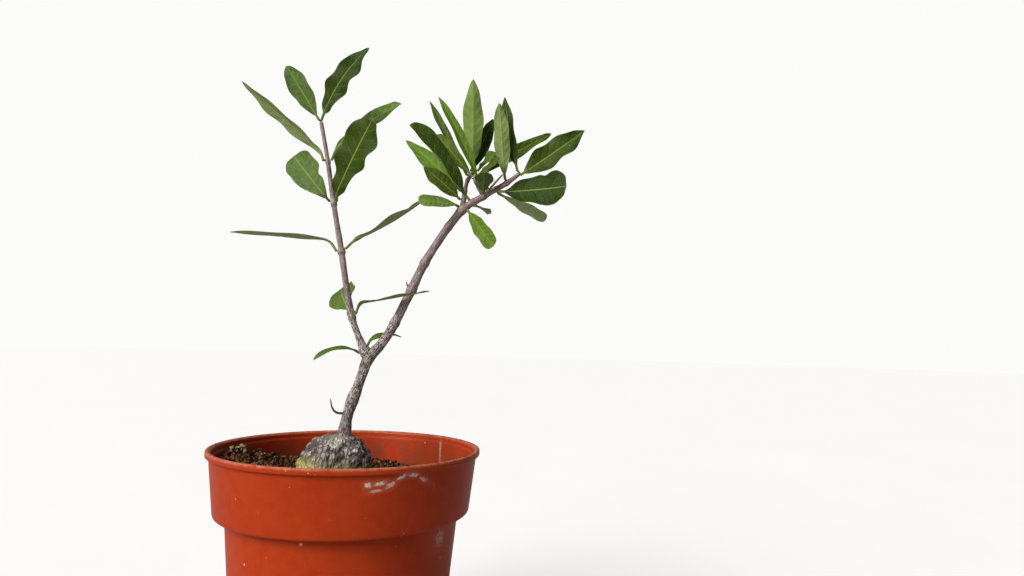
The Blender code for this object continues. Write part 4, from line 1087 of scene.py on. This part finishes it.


# A waxy leaf: clouded green by its tone and warmth, a pale rib and finer side veins, a thin pale
# margin, a yellow-green stalk, a paler dull underside and a pale film of dust and painted sheen.
def wireLeaf(tree):
    across, along, face = axes(tree, attribute(tree, "leafPlace").outputs["Vector"])
    tone, warm, dusty = axes(tree, attribute(tree, "leafLook").outputs["Vector"])
    flat = attribute(tree, "leafSize").outputs["Vector"]
    away = calculate(tree, "ABSOLUTE", across)
    cloud = noise(tree, flat, 210.0, 5.0, 0.6)
    hue = blend(tree, warm, blade["cool"], blade["olive"])
    dark = blend(tree, ease(tree, tone, 0.5, 0.0), hue, blade["dark"])
    colour = blend(tree, ease(tree, tone, 0.5, 1.0), dark, blade["bright"])
    shade = makeNode(tree, "HueSaturation", {"Color": colour, "Value": calculate(
        tree, "MULTIPLY_ADD", cloud, 1.0, 0.48)}).outputs[0]
    # Side veins: lines at even steps of along less a share of across, staggered on one half.
    stagger = times(tree, calculate(tree, "GREATER_THAN", across, 0.0), 0.25)
    step = timesPlus(tree, away, -1.1, times(tree, along, blade["veins"]))
    step = calculate(tree, "ADD", step, stagger)
    step = timesPlus(tree, noise(tree, flat, 320.0, 2.0), 0.22, step)
    line = calculate(tree, "PINGPONG", step, 0.5)
    vein = times(tree, ease(tree, line, 0.10, 0.01), ease(tree, away, 0.98, 0.55))
    net = ease(tree, cells(tree, flat, 900.0, "DISTANCE_TO_EDGE"), 0.10, 0.0)
    ribWidth = timesPlus(tree, along, -0.05, 0.085)
    rib = ease(tree, away, ribWidth, times(tree, ribWidth, 0.35))
    colour = tint(tree, shade, vein, 0.13, blade["rib"])
    colour = tint(tree, colour, net, 0.07, blade["rib"])
    quilt = times(tree, ease(tree, line, 0.45, 0.12), ease(tree, away, 0.1, 0.5))
    colour = tint(tree, colour, quilt, 0.22, blade["dark"])
    margin = ease(tree, away, 0.94, 1.0)
    colour = tint(tree, colour, margin, 0.5, blade["margin"])
    dry = times(tree, ease(tree, noise(tree, flat, 150.0, 4.0), 0.60, 0.72),
                ease(tree, away, 0.86, 1.0))
    dry = calculate(tree, "MAXIMUM", dry, ease(tree, along, 0.975, 1.0))
    colour = tint(tree, colour, dry, 0.6, blade["dry"])
    colour = tint(tree, colour, rib, 0.70, blade["rib"])
    # The underside is paler and greyer, with its veins a little darker.
    below = ease(tree, face, 0.05, -0.05)
    paleness = attribute(tree, "leafPale").outputs["Fac"]
    pale = mottled(tree, flat, 300.0, blade["under"], blade["underDeep"])
    pale = tint(tree, pale, vein, 0.25, rgb(0.24, 0.31, 0.12))
    pale = tint(tree, pale, rib, 0.8, rgb(0.50, 0.54, 0.30))
    colour = tint(tree, colour, below, paleness, pale)
    stalk = ease(tree, along, 0.12, 0.04)
    colour = blend(tree, stalk, colour, blade["stalk"])
    # A thin pale film lies over the leaf, partly dust and partly a painted sheen, with a few chalky flecks.
    film = times(tree, ease(tree, noise(tree, flat, 480.0, 7.0, 0.7), 0.35, 0.75), dusty)
    colour = tint(tree, colour, film, 0.26, rgb(0.37, 0.43, 0.27))
    fleck = speckled(tree, flat, 620.0, 0.24)
    colour = tint(tree, colour, fleck, 0.3, rgb(0.45, 0.50, 0.36))
    rough = timesPlus(tree, noise(tree, flat, 600.0, 5.0), 0.20, 0.32)
    rough = timesPlus(tree, below, 0.18, rough)
    relief = timesPlus(tree, vein, -0.5, noise(tree, flat, 1300.0, 5.0, 0.6))
    relief = timesPlus(tree, net, -0.15, relief)
    return relief, 0.00012, {"Base Color": colour, "Roughness": rough, "Specular IOR Level": 0.08}


# leaf_left_1a becomes leafLeft1a
def pieceName(node):
    first, *rest = node.split("_")
    return first + "".join(word.capitalize() for word in rest)


def makeLeaves():
    waxy = makeMaterial("waxyLeaf", wireLeaf)
    for node, leaf in leaves.items():
        points, attributes = leafPoints(leaf)
        addPiece(pieceName(node), roundMesh(pieceName(node), points, attributes), waxy, [node])
    print("leaves:", len(leaves))


makeStems()
makeLeaves()


studio = {
    "floorRadius": 9.0, "floorSides": 96, "floor": rgb(0.46, 0.46, 0.457),
    "floorGlow": rgb(0.60, 0.598, 0.592),
    "backdrop": rgb(0.975, 0.972, 0.965), "room": rgb(1.0, 0.97, 0.94),
    "roomStrength": 0.155, "daylight": (1.0, 0.985, 0.96),
    "windowTurn": 230, "windowRise": 34, "windowSpread": 34, "windowStrength": 3.3,
    "sideTurn": 195, "sideRise": 12, "sideSpread": 110, "sideStrength": 0.75,
    "cameraPlace": (63.7 * mm, -282 * mm, 134 * mm), "cameraUp": 4.86, "cameraRoll": 1.57,
    "lens": 24.44,
}


# A wide flat disc, rings of points about the pot that lie closer together near it.
def makeFloor():
    radius = studio["floorRadius"] * np.linspace(0.0, 1, 30)[1:] ** 2
    sides = studio["floorSides"]
    rings = polar(radius[:, None], fullTurn(sides), 0.0)
    index = np.arange(rings.shape[0] * sides).reshape(-1, sides)
    turned = np.roll(index, -1, axis=1)
    quads = np.stack([index[:-1], index[1:], turned[1:], turned[:-1]], axis=-1).reshape(-1, 4)
    fan = np.stack([np.full(sides, index.size), index[0], turned[0]], axis=-1)
    mesh = bpy.data.meshes.new("studioFloor")
    mesh.from_pydata(np.concatenate([rings.reshape(-1, 3), [[0, 0, 0]]]), [],
                     quads.tolist() + fan.tolist())
    floor = addObject("studioFloor", mesh)
    mesh.materials.append(makeMaterial("paleFloor", wireFloor))


# The glow that keeps the floor pale is only for the camera, so that it lights nothing.
def wireFloor(tree):
    place = objectPlace(tree)
    paler = rgb(*(value * 0.97 for value in studio["floor"][:3]))
    colour = mottled(tree, place, 6.0, studio["floor"], paler)
    seen = makeNode(tree, "LightPath").outputs["Is Camera Ray"]
    glow = blend(tree, seen, rgb(0, 0, 0), studio["floorGlow"])
    return noise(tree, place, 60.0, 4.0), 0.0002, {
        "Base Color": colour, "Roughness": 0.7, "Emission Color": glow, "Emission Strength": 1.0}


# One wide soft light from the left front, a wider dim one from the left side, a dim even room,
# and a pale backdrop that only the camera sees.
def makeStudio():
    makeFloor()
    for key, name in (("window", "softWindow"), ("side", "softSide")):
        light = bpy.data.lights.new(name, "SUN")
        light.angle = math.radians(studio[key + "Spread"])
        light.energy = studio[key + "Strength"]
        light.color = studio["daylight"]
        lamp = addObject(name, light)
        lamp.rotation_euler = (math.radians(90 - studio[key + "Rise"]), 0,
                               math.radians(studio[key + "Turn"] + 90))
    world = bpy.data.worlds.new("softRoom")
    world.use_nodes = True
    tree = world.node_tree
    room = tree.nodes["Background"]
    room.inputs["Color"].default_value = studio["room"]
    room.inputs["Strength"].default_value = studio["roomStrength"]
    backdrop = makeNode(tree, "Background", {"Color": studio["backdrop"], "Strength": 1.0})
    seen = makeNode(tree, "LightPath").outputs["Is Camera Ray"]
    mixed = makeNode(tree, "MixShader", {0: seen, 1: room.outputs[0], 2: backdrop.outputs[0]})
    tree.links.new(mixed.outputs[0], tree.nodes["World Output"].inputs["Surface"])
    bpy.context.scene.world = world
    bpy.context.scene.view_settings.view_transform = "Standard"
    camera = bpy.data.cameras.new("camera")
    camera.lens = studio["lens"]
    camera.sensor_width = 36
    camera.clip_start = 0.01
    eye = addObject("camera", camera)
    up, roll = math.radians(90 + studio["cameraUp"]), math.radians(studio["cameraRoll"])
    eye.matrix_world = (Matrix.Translation(studio["cameraPlace"]) @ Matrix.Rotation(up, 4, "X")
                        @ Matrix.Rotation(roll, 4, "Z"))
    bpy.context.scene.camera = eye
    print("studio: floor, window light, room and camera")


makeStudio()
